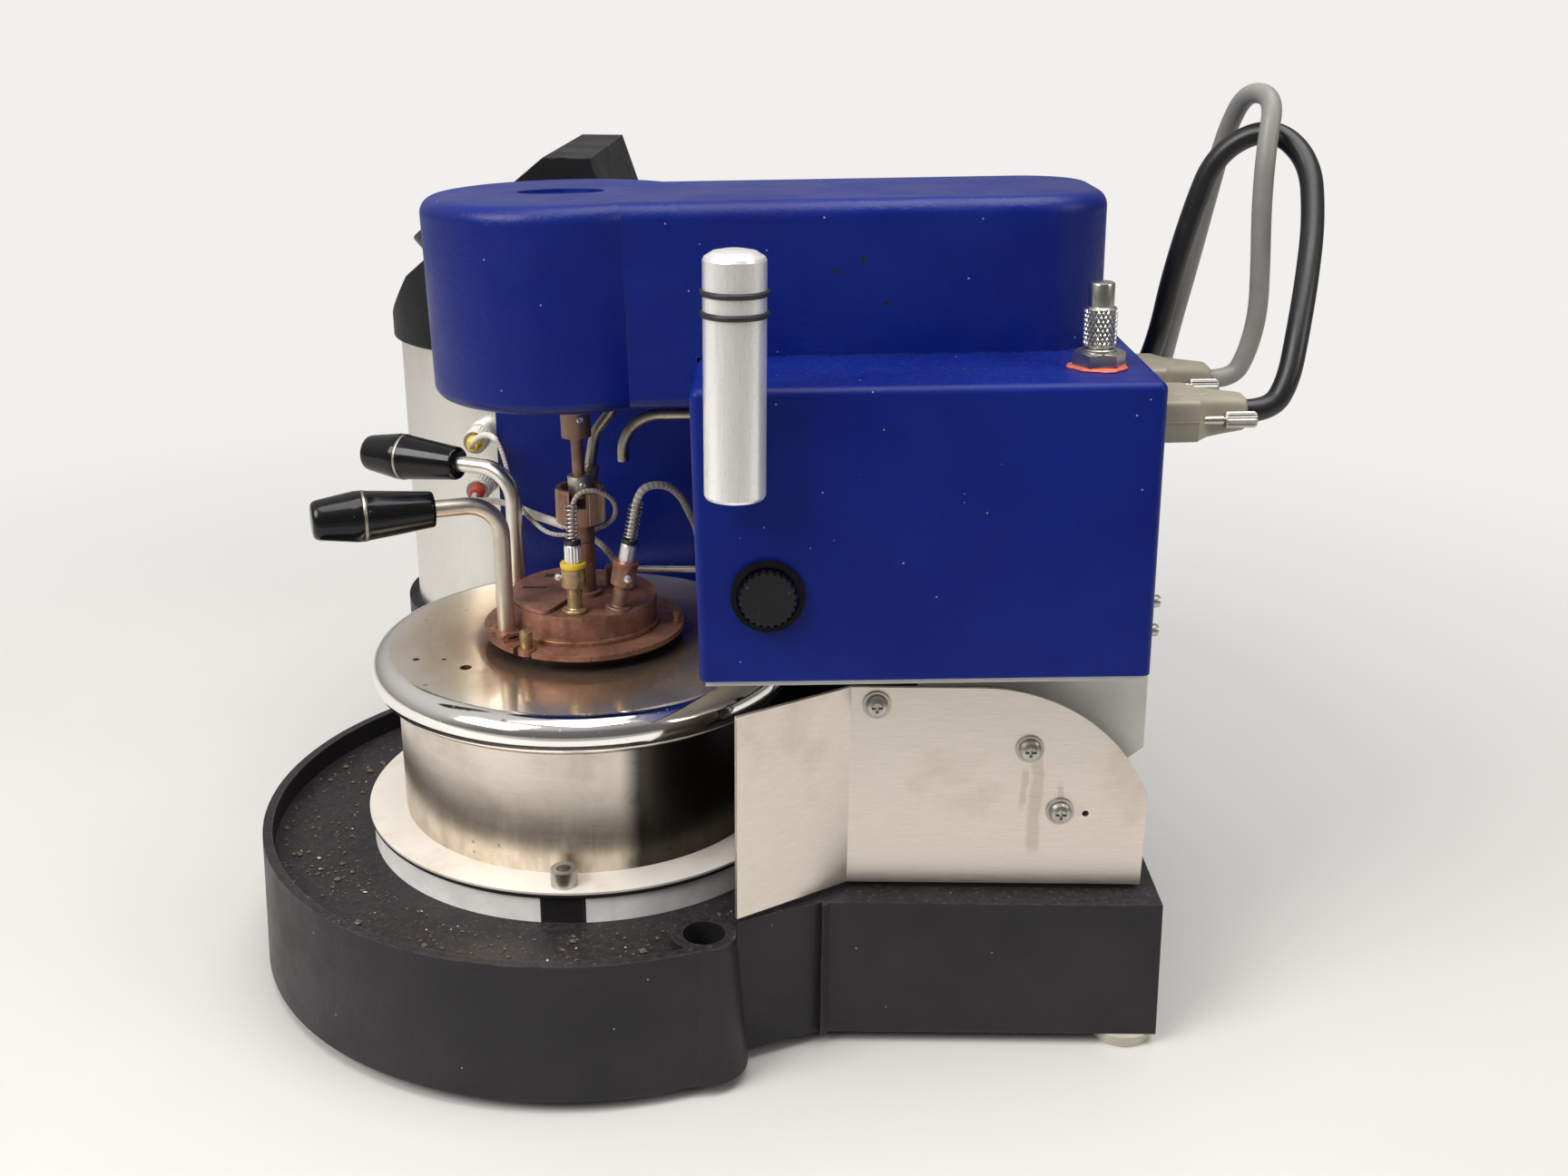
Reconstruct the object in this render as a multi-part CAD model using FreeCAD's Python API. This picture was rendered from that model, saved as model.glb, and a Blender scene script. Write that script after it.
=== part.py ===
import FreeCAD, Part
import math
import os

# Closed-cup flash point tester, in millimetres. While it is drawn, the cup's axis is x = 0, y = 0 and
# z = 0 is the lower edge of the base. -X is the operator's side, +X the rear, +Z up. The whole part is
# shifted at the end, so that its origin is the middle of the footprint of its fixed and moving pieces.

V = FreeCAD.Vector
UP = V(0, 0, 1)
BACK = V(0, 1, 0)
RIGHT = V(1, 0, 0)

# Shared fits
over = 1.0                 # overrun of every cut
seat_gap = 0.2             # between faces that rest on each other in different bodies
run_fit = 0.05             # radial clearance of a turning or sliding fit
wall_gap = 0.3             # between neighbours that do not carry each other

# Base
base_height = 53.1
base_r_top = 130.2
base_r_bottom = 132.7
base_wall = 3.5
tray_depth = 9.1
tray_r = 126.5
tray_end_x = 64.0
rear_x_top = 218.5
rear_x_bottom = 219.7
near_y_top = -86.5
near_y_bottom = -89.7
sweep_start_x = 52.4
sweep_start_y = -107.7
sweep_mid_x = 79.0
sweep_mid_y = -93.0
sweep_end_x = 94.4
pillar_r_top = 11.5
pillar_r_bottom = 15.5
pillar_hole_r = 7.6
pillar_hole_depth = 22.0
bottom_plate_thickness = 2.0
bottom_plate_inset = 0.6
foot_r = 12.2
foot_height = 5.0
foot_screw_r = 2.0
foot_screw_head_r = 3.6
foot_screw_head_height = 2.4
foot_screw_length = 9.0
foot_places = [(208.5, -80.0), (205.0, 212.0), (-72.0, -88.0), (-60.0, 186.0)]

# Stove
plate_r = 88.7
plate_thickness = 2.0
gasket_r = 87.9
gasket_thickness = 0.8
skirt_r = 87.4
skirt_inner_r = 70.0
skirt_height = 10.3
skirt_notch_width = 16.6
notch_block_play = 0.4
stove_r = 74.2
stove_wall = 1.2
dome_top = 122.5
dome_wall = 1.3
dome_nose_r = 7.6
dome_nose_ring_r = 76.2
dome_lip_turn = 80.0
dome_hole_r = 33.6
dome_small_holes = [(-61.8, -26.9, 1.4), (-51.1, -26.7, 0.9), (-41.3, -34.4, 2.3)]
heater_r = 60.0
heater_neck_r = 33.0
heater_shoulder = 117.0
heater_floor = 9.0
band_thickness = 3.0
band_low = 66.0
band_high = 110.0
cap_screw_ring_r = 81.9
cap_screw_turns = (-90.0, 30.0, 150.0)
cap_screw_head_r = 4.9
cap_screw_head_height = 6.4
cap_screw_socket_r = 2.6
cap_screw_socket_depth = 3.6
cap_screw_shank_r = 2.9
cap_screw_length = 16.0

# Test cup, to the sizes that its test method fixes
cup_inner_r = 25.4
cup_depth = 55.9
cup_wall = 1.9
cup_floor = 2.4
flange_r = 39.5
flange_thickness = 2.2
flange_top = 129.4
notch_turn = -120.0
notch_width = 9.0
notch_depth = 5.0
post_r = 2.3
post_ring_r = 36.6
post_top = 136.4
post_collar_r = 3.3
post_collar_height = 2.2
stop_pin_r = 1.3
stop_pin_ring_r = 36.9
stop_pin_turn = -5.6
stop_pin_height = 5.0

# Handles
ear_width = 11.5
ear_inner_r = 31.2
ear_outer_r = 38.4
ear_height = 3.1
leaf_gap = 1.0
rivet_r = 1.9
rivet_height = 1.4
handle_r = 3.25
handle_bend = 13.0
cup_handle_turn = -144.0
cup_handle_ring_r = 34.2
cup_handle_drop = 44.4
lid_handle_turn = 144.0
lid_handle_ring_r = 37.0
lid_handle_drop = 43.4
handle_splay = 21.5
grip_gap_length = 24.5
grip_length = 44.0
grip_rear_length = 25.5
grip_end_r = 6.7
grip_ring_r = 9.4
grip_tip_r = 5.8
grip_bore_depth = 22.0
grip_swell_share = 0.17
grip_nose_share = 0.55

# Lid
lid_r = 28.7
lid_top = 140.6
lid_plate = 2.6
lid_wall = 2.6
lid_ring_r = 30.1
lid_ring_height = 1.6
column_r = 5.0
column_top = 162.6
vent_r = 4.2
vent_ring_r = 17.0
vent_turn = 150.0
shutter_r = 28.3
shutter_inner_r = 5.6
shutter_thickness = 1.5
shutter_from = 100.0
shutter_to = 247.0
shutter_slot_x = -19.6
shutter_slot_y = 1.1
shutter_slot_length = 9.6
shutter_slot_width = 1.1
shutter_port_x = -13.6
shutter_port_y = 15.6
shutter_port_length = 7.4
shutter_port_width = 3.6
pipe_r = 1.3
pipe_height = 147.0
pipe_y = 11.2
pipe_start_x = 9.5
pipe_end_x = 46.2
pipe_post_r = 2.2
fitting_r = 2.7
fitting_base = (16.8, 3.8)
fitting_lean = (-0.42, 0.32)
fitting_length = 7.6

# Sensors
sensor_foot_r = 4.9
sensor_foot_height = 1.6
sensor_neck_r = 2.7
sensor_neck_length = 10.4
sensor_socket_r = 4.7
sensor_socket_length = 9.6
sensor_sleeve_r = 3.1
sensor_sleeve_length = 7.5
sensor_sleeve_depth = 6.0
sensor_ring_r = 3.2
sensor_ring_height = 1.5
sensor_rod_r = 1.5
yellow_x = -0.8
yellow_y = -21.3
yellow_lean = 0.0
yellow_rod = 18.0
red_x = 15.3
red_y = -18.1
red_lean = 10.7
red_rod = 42.0
coil_wire = 0.6
coil_pitch = 1.6
coil_turns = 9
coil_samples = 5
yellow_coil_r = 2.1
red_coil_r = 2.45

# Stirrer
shaft_r = 2.1
groove_gap = 0.4
hub_r = 5.2
hub_height = 7.7
collar_r = 9.4
collar_height = 13.8
collar_bore_r = 7.7
collar_bore_depth = 9.0
claw_width = 6.4
claw_depth = 6.8
shaft_low = 79.0
paddle_thickness = 1.6
paddle_width = 8.0
paddle_pitch = 35.0
lower_paddle_r = 17.0
lower_paddle_z = 84.0
upper_paddle_r = 9.6
upper_paddle_z = 114.0
paddle_hub_r = 3.6
paddle_hub_height = 7.0

# Shield, chassis and pivot
pivot_x = 150.0
pivot_z = 67.0
head_rest_turn = -1.5
shield_y = -75.5
shield_thickness = 1.5
shield_low = 55.5
shield_front_x = 103.5
shield_back_x = 212.0
shield_corner_r = 66.6
wing_tip_x = 63.9
wing_tip_y = -102.4
flange_depth = 10.0
chassis_thickness = 3.0
chassis_floor = 2.5
chassis_far_y = 53.0
chassis_front_x = 107.0
chassis_back_x = 209.5
pan_places = [(112.7, 127.0), (168.0, 110.3), (180.4, 85.5)]
pan_head_r = 4.0
pan_head_height = 2.6
pan_head_shares = [(1.0, 0.35), (0.82, 0.8), (0.45, 1.0)]
pan_washer_r = 5.1
pan_washer_height = 0.9
pan_shank_r = 2.0
pin_hole_place = (189.8, 84.5)
pin_hole_r = 1.2
shaft_pivot_r = 6.0
rest_bar_x = 110.0
rest_bar_width = 9.0
rest_bar_height = 4.0
rest_pad_r = 4.5

# Head, drawn level and turned by head_rest_turn about the pivot
box_x0 = 52.9
box_x1 = 206.2
box_y0 = -95.0
box_y1 = 44.0
box_z0 = 145.8
box_z1 = 246.8
box_wall = 2.0
box_round = 3.0
frame_floor = 2.3
side_plate = 2.5
side_near_y = -63.5
side_far_y = 42.5
side_front_x = 128.0
side_back_x = 212.6
side_back_low = 104.0
pivot_boss_r = 10.3
pivot_boss_width = 8.0
pivot_foot_share = 0.8
spindle_x = 3.0
boss_r = 51.0
arm_near_half = 44.0
arm_far_half = 35.0
arm_end_x = 198.0
arm_end_round = 28.0
arm_z1 = 299.8
arm_low = 228.0
arm_wall = 3.0
arm_top_round = 6.0
arm_bottom_round = 4.5
recess_half_length = 16.0
recess_half_width = 9.5
recess_depth = 1.4
recess_x = 3.0
boss_hole_r = 7.6
motor_r = 21.0
motor_height = 46.0
motor_nose_r = 9.0
motor_shaft_r = 3.0
coupling_r = 5.7
coupling_low = 208.3
spindle_r = 2.4
sleeve_r = 4.4
sleeve_low = 184.6
sleeve_high = 193.2
cross_pin_z = 187.0
cross_pin_r = 1.0
cross_pin_length = 17.6
nozzle_r = 2.15
nozzle_bore_r = 1.3
nozzle_y = -12.0
nozzle_z = 219.4
nozzle_x = 21.8
nozzle_low = 201.6
nozzle_bend = 15.0
guide_r = 2.2
guide_y = 14.5
guide_steps = [(16.6, 0.0), (16.6, 4.0), (12.5, 13.0), (5.2, 22.0), (1.4, 41.0)]
guide_bends = [12.0, 12.0, 14.0]
guide_knob_r = 3.7
guide_knob_height = 6.0
cap_x = 76.9
cap_z = 177.0
cap_ring_r = 12.4
cap_ring_inner_r = 10.6
cap_ring_depth = 2.4
cap_r = 9.6
cap_reach = 5.4
cap_neck_r = 8.0
cap_teeth = 24
cap_tooth_r = 0.7
plunger_x = 187.8
plunger_y = -70.0
nut_flats = 15.4
nut_height = 5.6
nut_sides = 6
washer_r = 9.6
washer_height = 1.0
plunger_rod_r = 3.6
plunger_knurl_r = 5.0
plunger_knurl_height = 15.5
plunger_tip_r = 4.2
plunger_tip_height = 8.6
plunger_depth = 16.0
hood_ys = (-60.5, -10.0)
hood_width = 31.0
hood_height = 15.4
hood_z = 228.8
hood_length = 25.0
hood_neck_length = 9.0
hood_neck_width = 13.0
hood_neck_height = 12.0
hood_plate = 1.2
hood_plate_extra = 1.4
thumb_r = 2.7
thumb_shank_r = 1.5
thumb_length = 18.0
thumb_start_length = 19.0
thumb_inset = 2.0

# Storage tube in front of the box, held by a stud in the box face
tube_x = 63.5
tube_y = -106.6
tube_r = 9.9
tube_low = 212.5
tube_high = 288.2
tube_dome = 2.2
tube_dome_shares = [(0.7, 0.7), (0.35, 1.0)]
ring_section = 1.0
ring_heights = (277.4, 270.9)
stud_r = 4.0
stud_z = 240.0

# Control tower and electronics housing
tower_x = -36.5
tower_y = 156.0
tower_r = 64.5
tower_wall = 1.5
plinth_r = 69.5
plinth_top = 88.0
plinth_recess = 4.0
lobe_r_top = 72.0
lobe_r_bottom = 74.0
tower_top = 216.5
split_x = -48.5
housing_end_x = 196.0
housing_wall = 2.5
panel_thickness = 2.0
head_r = 67.6
head_wall = 3.0
slope_low_x = -88.6
slope_low_z = 247.0
slope_high_x = -22.5
head_top = 300.3
head_back_x = -2.7
head_back_low_x = 26.0
nose_x = -102.2
nose_z = 226.0
window_length = 74.0
window_height = 44.0
window_thickness = 1.2
window_up_slope = 56.0
knob_up_slope = 15.0
knob_r = 12.0
knob_height = 10.0
knob_lift = 2.2
knob_shaft_r = 3.0
knob_shaft_length = 14.0
knob_flange_r = 5.0
knob_flange_height = 2.0
socket_x = -55.5
socket_heights = (181.0, 159.0)
socket_r = 6.0
socket_front_y = 88.0
plug_r = 5.2
plug_front_y = 78.0
boot_r = 3.4
boot_tip_r = 2.4
boot_front_y = 72.0
board_x0 = 0.0
board_length = 130.0
board_y = 150.0
board_height = 96.0
board_thickness = 1.6
chip_height = 9.0
chip_place_shares = (0.12, 0.45, 0.72)
chip_rise_share = 0.3
inlet_y = 130.0
inlet_z = 118.0
inlet_width = 28.0
inlet_height = 24.0
inlet_depth = 24.0
inlet_rim = 4.0
inlet_bore_share = 0.7
inlet_blade_share = 0.85
gland_r = 4.8
gland_outer_length = 9.0
gland_inner_length = 6.0

# Cords: their diameters, and their routes as points chosen by hand
cord_arc_share = 0.45
yellow_dia = 1.8
white_dia = 2.6
probe_dia = 3.0
black_dia = 8.0
grey_dia = 7.0
yellow_route = [
    (-0.8, -21.3, 169.65), (-0.6, -21.5, 177.4), (-0.1, -21.3, 185.0), (3.3, -20.5, 188.6),
    (8.8, -18.5, 188.5), (14.0, -13.5, 183.8), (14.7, -5.5, 176.0), (10.7, 4.0, 168.2),
    (2.5, 11.0, 162.5), (-6.3, 14.0, 159.9), (-15.0, 16.5, 159.4), (-21.6, 24.8, 160.8),
    (-29.0, 30.6, 166.4), (-33.6, 37.0, 174.6), (-36.6, 43.2, 183.6), (-41.0, 50.4, 190.6),
    (-47.4, 56.8, 190.4), (-52.8, 61.4, 185.8), (-55.5, 66.6, 181.0), (-55.5, 72.0, 181.0)]
white_route = [
    (13.95, 5.97, 146.4), (11.6, 7.76, 152.0), (7.0, 12.2, 156.2), (1.6, 16.8, 158.4),
    (-5.8, 21.2, 160.2), (-14.4, 26.4, 161.6), (-23.2, 33.0, 162.2), (-30.6, 40.0, 162.8),
    (-37.4, 46.6, 163.2), (-44.4, 52.6, 162.6), (-51.2, 58.8, 160.4), (-55.5, 66.0, 159.0),
    (-55.5, 72.0, 159.0)]
probe_route = [
    (20.69, -18.1, 169.15), (22.5, -18.3, 178.0), (23.7, -17.6, 185.5), (27.1, -16.0, 189.7),
    (34.6, -12.0, 189.0), (39.6, -5.0, 182.3), (42.1, 4.0, 172.6), (43.8, 15.0, 164.4),
    (44.0, 27.0, 155.4), (44.6, 40.0, 149.0), (45.8, 54.0, 145.2), (48.5, 69.4, 143.0),
    (48.5, 82.5, 143.0)]
black_route = [
    (235.98, -60.5, 231.1), (245.0, -60.5, 231.4), (250.6, -58.0, 241.0), (254.1, -51.0, 255.9),
    (258.6, -40.0, 272.4), (263.7, -24.0, 291.1), (265.0, -8.0, 310.4), (253.1, 4.0, 321.0),
    (236.0, 10.0, 310.9), (230.0, 13.5, 288.6), (225.0, 15.4, 263.6), (223.1, 19.0, 242.6),
    (220.2, 28.0, 224.5), (217.4, 40.5, 209.0), (212.5, 50.5, 197.5), (201.0, 57.5, 188.0),
    (191.5, 64.5, 181.5), (186.0, 72.5, 178.0), (186.0, 82.5, 178.0)]
grey_route = [
    (235.98, -10.0, 231.1), (244.8, -10.0, 231.4), (248.9, -11.0, 240.2), (251.0, -13.0, 255.3),
    (249.5, -15.0, 272.9), (247.2, -16.0, 294.4), (247.3, -14.0, 315.4), (250.4, -7.0, 331.5),
    (244.4, 8.0, 332.7), (241.2, 18.0, 318.7), (239.1, 25.0, 297.5), (235.4, 30.4, 268.0),
    (231.6, 33.0, 245.0), (229.0, 36.8, 222.4), (224.6, 42.4, 200.0), (214.5, 49.6, 179.4),
    (202.0, 56.0, 163.5), (191.0, 62.4, 153.4), (186.0, 71.5, 150.0), (186.0, 82.5, 150.0)]
probe_gland = (48.5, 143.0)
black_gland = (186.0, 178.0)
grey_gland = (186.0, 150.0)

# Sizes worked out from the ones above
tray_floor = base_height - tray_depth
cup_handle_height = arm_low - cup_handle_drop
lid_handle_height = arm_low - lid_handle_drop
skirt_top = tray_floor + skirt_height
gasket_top = skirt_top + gasket_thickness
plate_top = gasket_top + plate_thickness
cup_outer_r = cup_inner_r + cup_wall
cup_low = flange_top - cup_depth - cup_floor
flange_low = flange_top - flange_thickness
cavity_r = cup_outer_r + wall_gap + run_fit
lid_low = flange_top + seat_gap
shutter_low = lid_top + seat_gap
shutter_high = shutter_low + shutter_thickness
hub_low = column_top + groove_gap
collar_low = hub_low + hub_height
collar_top = collar_low + collar_height
collar_floor = collar_top - collar_bore_depth
socket_top_s = sensor_neck_length + sensor_socket_length
sleeve_top_s = socket_top_s + sensor_sleeve_length
coil_low_s = sleeve_top_s + sensor_ring_height
slope_turn = math.degrees(math.atan2(head_top - slope_low_z, slope_high_x - slope_low_x))


def block(x0, x1, y0, y1, z0, z1):
    """Box between three pairs of limits."""
    return Part.makeBox(x1 - x0, y1 - y0, z1 - z0, V(x0, y0, z0))


def disc(r, z0, z1, x=0, y=0):
    """Upright cylinder between two heights."""
    return Part.makeCylinder(r, z1 - z0, V(x, y, z0), UP)


def ring(r_out, r_in, z0, z1, x=0, y=0):
    """Upright tube between two heights."""
    return disc(r_out, z0, z1, x, y).cut(disc(r_in, z0 - over, z1 + over, x, y))


def rod(start, end, r):
    """Round bar from one point to another."""
    a = V(*start)
    b = V(*end)
    return Part.makeCylinder(r, (b - a).Length, a, b - a)


def drafted(r_low, r_high, z0, z1, x=0, y=0):
    """Upright cone frustum."""
    return Part.makeCone(r_low, r_high, z1 - z0, V(x, y, z0), UP)


def polygon_prism(points, direction):
    """Prism on a closed outline of 3-D points, pushed along a vector."""
    corners = [V(*p) for p in points]
    corners.append(corners[0])
    return Part.Face(Part.makePolygon(corners)).extrude(direction)


def turned(points, axis_at=V(0, 0, 0), axis=UP):
    """Solid of revolution of an outline of (radius, height) pairs about an axis."""
    corners = [V(r, 0, h) for r, h in points]
    corners.append(corners[0])
    solid = Part.Face(Part.makePolygon(corners)).revolve(V(0, 0, 0), UP, 360)
    solid.Placement = FreeCAD.Placement(axis_at, FreeCAD.Rotation(UP, axis))
    return solid


def polar(radius, turn):
    """Point at a radius and an angle about the cup's axis."""
    a = math.radians(turn)
    return radius * math.cos(a), radius * math.sin(a)


def spun(shape, turn, at=V(0, 0, 0), axis=UP):
    """Copy of a shape turned about an axis."""
    result = shape.copy()
    result.rotate(at, axis, turn)
    return result


def level_to_rest(shape):
    """Copy of a level head piece as it stands: turned a little about the pivot, front down."""
    return spun(shape, head_rest_turn, V(pivot_x, 0, pivot_z), BACK)


def fused(shapes):
    """One solid from several that meet."""
    return shapes[0].fuse(shapes[1:]).removeSplitter()


def rounded(shape, radius, test):
    """Shape with the edges that pass a test rounded."""
    edges = [e for e in shape.Edges if test(e)]
    return shape.makeFillet(radius, edges)


def flat_at(edge, height):
    """True for an edge that lies at one height."""
    box = edge.BoundBox
    return abs(box.ZMin - height) < seat_gap and abs(box.ZMax - height) < seat_gap


def corner_arc(start, corner, end):
    """Arc that touches the lines start-corner and corner-end at start and end."""
    middle = (start + end) * 0.5
    half = (end - start).Length / 2
    height = (corner - middle).Length
    turn = math.atan2(height, half)
    top = middle + (corner - middle) * (math.tan(turn / 2) / math.tan(turn))
    return Part.Arc(start, top, end).toShape()


def rounded_path(points, radii):
    """Wire of straight runs through points, joined by tangent arcs of the given radii."""
    knots = [V(*p) for p in points]
    edges = []
    last = knots[0]
    for i in range(1, len(knots) - 1):
        back = (knots[i - 1] - knots[i]).normalize()
        ahead = (knots[i + 1] - knots[i]).normalize()
        half = (math.pi - back.getAngle(ahead)) / 2
        reach = radii[i - 1] * math.tan(half)
        start = knots[i] + back * reach
        end = knots[i] + ahead * reach
        edges.append(Part.LineSegment(last, start).toShape())
        edges.append(corner_arc(start, knots[i], end))
        last = end
    edges.append(Part.LineSegment(last, knots[-1]).toShape())
    return Part.Wire(edges)


def piped(path, r):
    """Round solid of one radius along a wire."""
    first = path.Edges[0]
    start = first.valueAt(first.FirstParameter)
    tangent = first.tangentAt(first.FirstParameter)
    section = Part.Wire([Part.Circle(start, tangent, r).toShape()])
    return path.makePipeShell([section], True, False)


def cord(name, points, diameter):
    """Tube of a free cord; each arc is as large as its two runs allow."""
    knots = [V(*p) for p in points]
    radii = []
    for i in range(1, len(knots) - 1):
        back = knots[i - 1] - knots[i]
        ahead = knots[i + 1] - knots[i]
        half = (math.pi - back.getAngle(ahead)) / 2
        radii.append(cord_arc_share * min(back.Length, ahead.Length) / math.tan(half))
    path = rounded_path(points, radii)
    solid = piped(path, diameter / 2)
    share = solid.Volume / (math.pi * diameter * diameter / 4 * path.Length)
    runs = [(knots[i + 1] - knots[i]).Length for i in range(len(knots) - 1)]
    steps = [max(a / b, b / a) for a, b in zip(runs, runs[1:])]
    print(name, "length", round(path.Length, 1), "volume share", round(share, 4),
          "least radius in diameters", round(min(radii) / diameter, 2),
          "longest run", round(max(runs), 1), "largest run ratio", round(max(steps), 2))
    print("   radii", [round(r, 1) for r in radii])
    return solid


def coil(name, radius):
    """Open strain spring on the Z axis: one wire through quarter turns, each made of two arcs."""
    points = []
    tangents = []
    rise = coil_pitch / (2 * math.pi)
    start = coil_wire / 2 + run_fit
    for i in range(4 * coil_turns + 1):
        a = i * math.pi / 2
        points.append(V(radius * math.cos(a), radius * math.sin(a), start + rise * a))
        tangents.append(V(-radius * math.sin(a), radius * math.cos(a), rise).normalize())
    edges = [Part.LineSegment(points[0] - tangents[0] * coil_wire, points[0]).toShape()]
    samples = []
    for i in range(4 * coil_turns):
        span = points[i + 1] - points[i]
        both = tangents[i] + tangents[i + 1]
        a = 2 * (tangents[i].dot(tangents[i + 1]) - 1)
        b = -2 * span.dot(both)
        c = span.dot(span)
        reach = (-b - math.sqrt(b * b - 4 * a * c)) / (2 * a)
        first = points[i] + tangents[i] * reach
        second = points[i + 1] - tangents[i + 1] * reach
        middle = (first + second) * 0.5
        edges.append(corner_arc(points[i], first, middle))
        edges.append(corner_arc(middle, second, points[i + 1]))
        for edge in edges[-2:]:
            samples.extend(edge.discretize(coil_samples)[:-1])
    edges.append(Part.LineSegment(points[-1], points[-1] + tangents[-1] * coil_wire).toShape())
    apart = len(samples) // (2 * coil_turns)
    gaps = [(samples[i] - samples[j]).Length - coil_wire
            for i in range(len(samples)) for j in range(i + apart, len(samples))]
    print(name, "least gap to itself", round(min(gaps), 2))
    return piped(Part.Wire(edges), coil_wire / 2)


def stadium(r, end, z0, z1, grow=0.0):
    """Round nose about the tower's axis, with straight sides that run to the rear."""
    nose = disc(r, z0, z1, tower_x, tower_y)
    body = block(tower_x, end + grow, tower_y - r, tower_y + r, z0, z1)
    return fused([nose, body])


def in_front_of(shape, x):
    """Part of a shape on the operator's side of a plane."""
    box = shape.BoundBox
    tool = block(x, box.XMax + over, box.YMin - over, box.YMax + over, box.ZMin - over, box.ZMax + over)
    return shape.cut(tool)


def behind(shape, x):
    """Part of a shape on the rear side of a plane."""
    box = shape.BoundBox
    tool = block(box.XMin - over, x, box.YMin - over, box.YMax + over, box.ZMin - over, box.ZMax + over)
    return shape.cut(tool)


def sweep_cutter(inset, z0, z1):
    """Leaning prism that takes away the corner of the round tray beside the screw pillar."""
    near = (near_y_top - near_y_bottom) / base_height
    low = -base_r_bottom - over
    wires = []
    for z in (z0, z1):
        shift = inset + near * (z - base_height)
        a = V(sweep_start_x, sweep_start_y + shift, z)
        m = V(sweep_mid_x, sweep_mid_y + shift, z)
        e = V(sweep_end_x, near_y_top + shift, z)
        corner = V(sweep_end_x, low, z)
        last = V(sweep_start_x, low, z)
        wires.append(Part.Wire([
            Part.Arc(a, m, e).toShape(), Part.LineSegment(e, corner).toShape(),
            Part.LineSegment(corner, last).toShape(), Part.LineSegment(last, a).toShape()]))
    return Part.makeLoft(wires, True, True)


def sloped_block(x0, x1_low, x1_high, y0_low, y0_high, y1, z0, z1):
    """Block whose near side and rear lean inwards as they rise."""
    low = Part.makePolygon([V(x0, y0_low, z0), V(x1_low, y0_low, z0), V(x1_low, y1, z0),
                            V(x0, y1, z0), V(x0, y0_low, z0)])
    high = Part.makePolygon([V(x0, y0_high, z1), V(x1_high, y0_high, z1), V(x1_high, y1, z1),
                             V(x0, y1, z1), V(x0, y0_high, z1)])
    return Part.makeLoft([low, high], True, True)


def base_outside(inset, z0, z1):
    """Outer form of the base, drawn in by a wall, between two heights."""
    lean = (base_r_bottom - base_r_top) / base_height
    near = (near_y_top - near_y_bottom) / base_height
    rear = (rear_x_bottom - rear_x_top) / base_height
    lobe = (lobe_r_bottom - lobe_r_top) / base_height
    tray = drafted(base_r_bottom - inset - lean * z0, base_r_bottom - inset - lean * z1, z0, z1)
    tray = tray.cut(sweep_cutter(inset, z0 - over, z1 + over))
    block_1 = sloped_block(sweep_end_x - foot_r, rear_x_bottom - inset - rear * z0,
                           rear_x_bottom - inset - rear * z1, near_y_bottom + inset + near * z0,
                           near_y_bottom + inset + near * z1, tower_y, z0, z1)
    lobe_low = lobe_r_bottom - inset - lobe * z0
    lobe_high = lobe_r_bottom - inset - lobe * z1
    nose = drafted(lobe_low, lobe_high, z0, z1, tower_x, tower_y)
    side = sloped_block(tower_x, rear_x_bottom - inset - rear * z0, rear_x_bottom - inset - rear * z1,
                        tower_y - lobe_low, tower_y - lobe_high, tower_y, z0, z1)
    far = side.mirror(V(0, tower_y, 0), BACK)
    return fused([tray, block_1, nose, side, far])


def make_base_tray():
    """Moulded base: round tray in front, straight block behind, screw pillar at the near side."""
    body = base_outside(0, 0, base_height)
    pillar = drafted(pillar_r_bottom, pillar_r_top, 0, base_height, sweep_start_x, sweep_start_y)
    body = fused([body, pillar])
    recess = in_front_of(disc(tray_r, tray_floor, base_height + over), tray_end_x)
    recess = fused([recess, disc(plate_r + over, tray_floor, base_height + over)])
    recess = recess.cut(disc(pillar_r_top, tray_floor - over, base_height + over,
                             sweep_start_x, sweep_start_y))
    body = body.cut(recess)
    low = tray_floor - base_wall
    hollow = base_outside(base_wall, -over, low)
    high = block(tray_r + base_wall, rear_x_top - base_wall, near_y_top + base_wall,
                 tower_y + lobe_r_top - base_wall, low - over, base_height - base_wall)
    body = body.cut(fused([hollow, high]))
    body = fused([body, disc(pillar_r_bottom - base_wall, 0, low, sweep_start_x, sweep_start_y)])
    body = body.cut(disc(pillar_hole_r, base_height - pillar_hole_depth, base_height + over,
                         sweep_start_x, sweep_start_y))
    half = skirt_notch_width / 2 - notch_block_play
    lug = block(-half, half, -skirt_r, -skirt_inner_r - over, tray_floor - over, skirt_top)
    body = fused([body, lug])
    for turn in cap_screw_turns:
        x, y = polar(cap_screw_ring_r, turn)
        body = body.cut(disc(cap_screw_shank_r + run_fit, low - over, skirt_top + over, x, y))
    return body


def make_base_bottom_plate():
    """Sheet that closes the base from below."""
    inset = base_wall + bottom_plate_inset
    plate = base_outside(inset, 0, bottom_plate_thickness)
    plate = plate.cut(disc(pillar_r_bottom, -over, bottom_plate_thickness + over,
                           sweep_start_x, sweep_start_y))
    for x, y in foot_places:
        plate = plate.cut(disc(foot_screw_r + run_fit, -over, bottom_plate_thickness + over, x, y))
    return plate


def make_base_feet():
    """Four feet with a serrated edge."""
    feet = []
    for x, y in foot_places:
        foot = drafted(foot_r - foot_height / 4, foot_r, -foot_height, 0, x, y)
        foot = foot.cut(disc(foot_screw_r + run_fit, -foot_height - over, over, x, y))
        head_room = foot_screw_head_height + over
        foot = foot.cut(disc(foot_screw_head_r + wall_gap, -foot_height - over,
                             -foot_height + head_room, x, y))
        feet.append(foot)
    return Part.Compound(feet)


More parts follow.
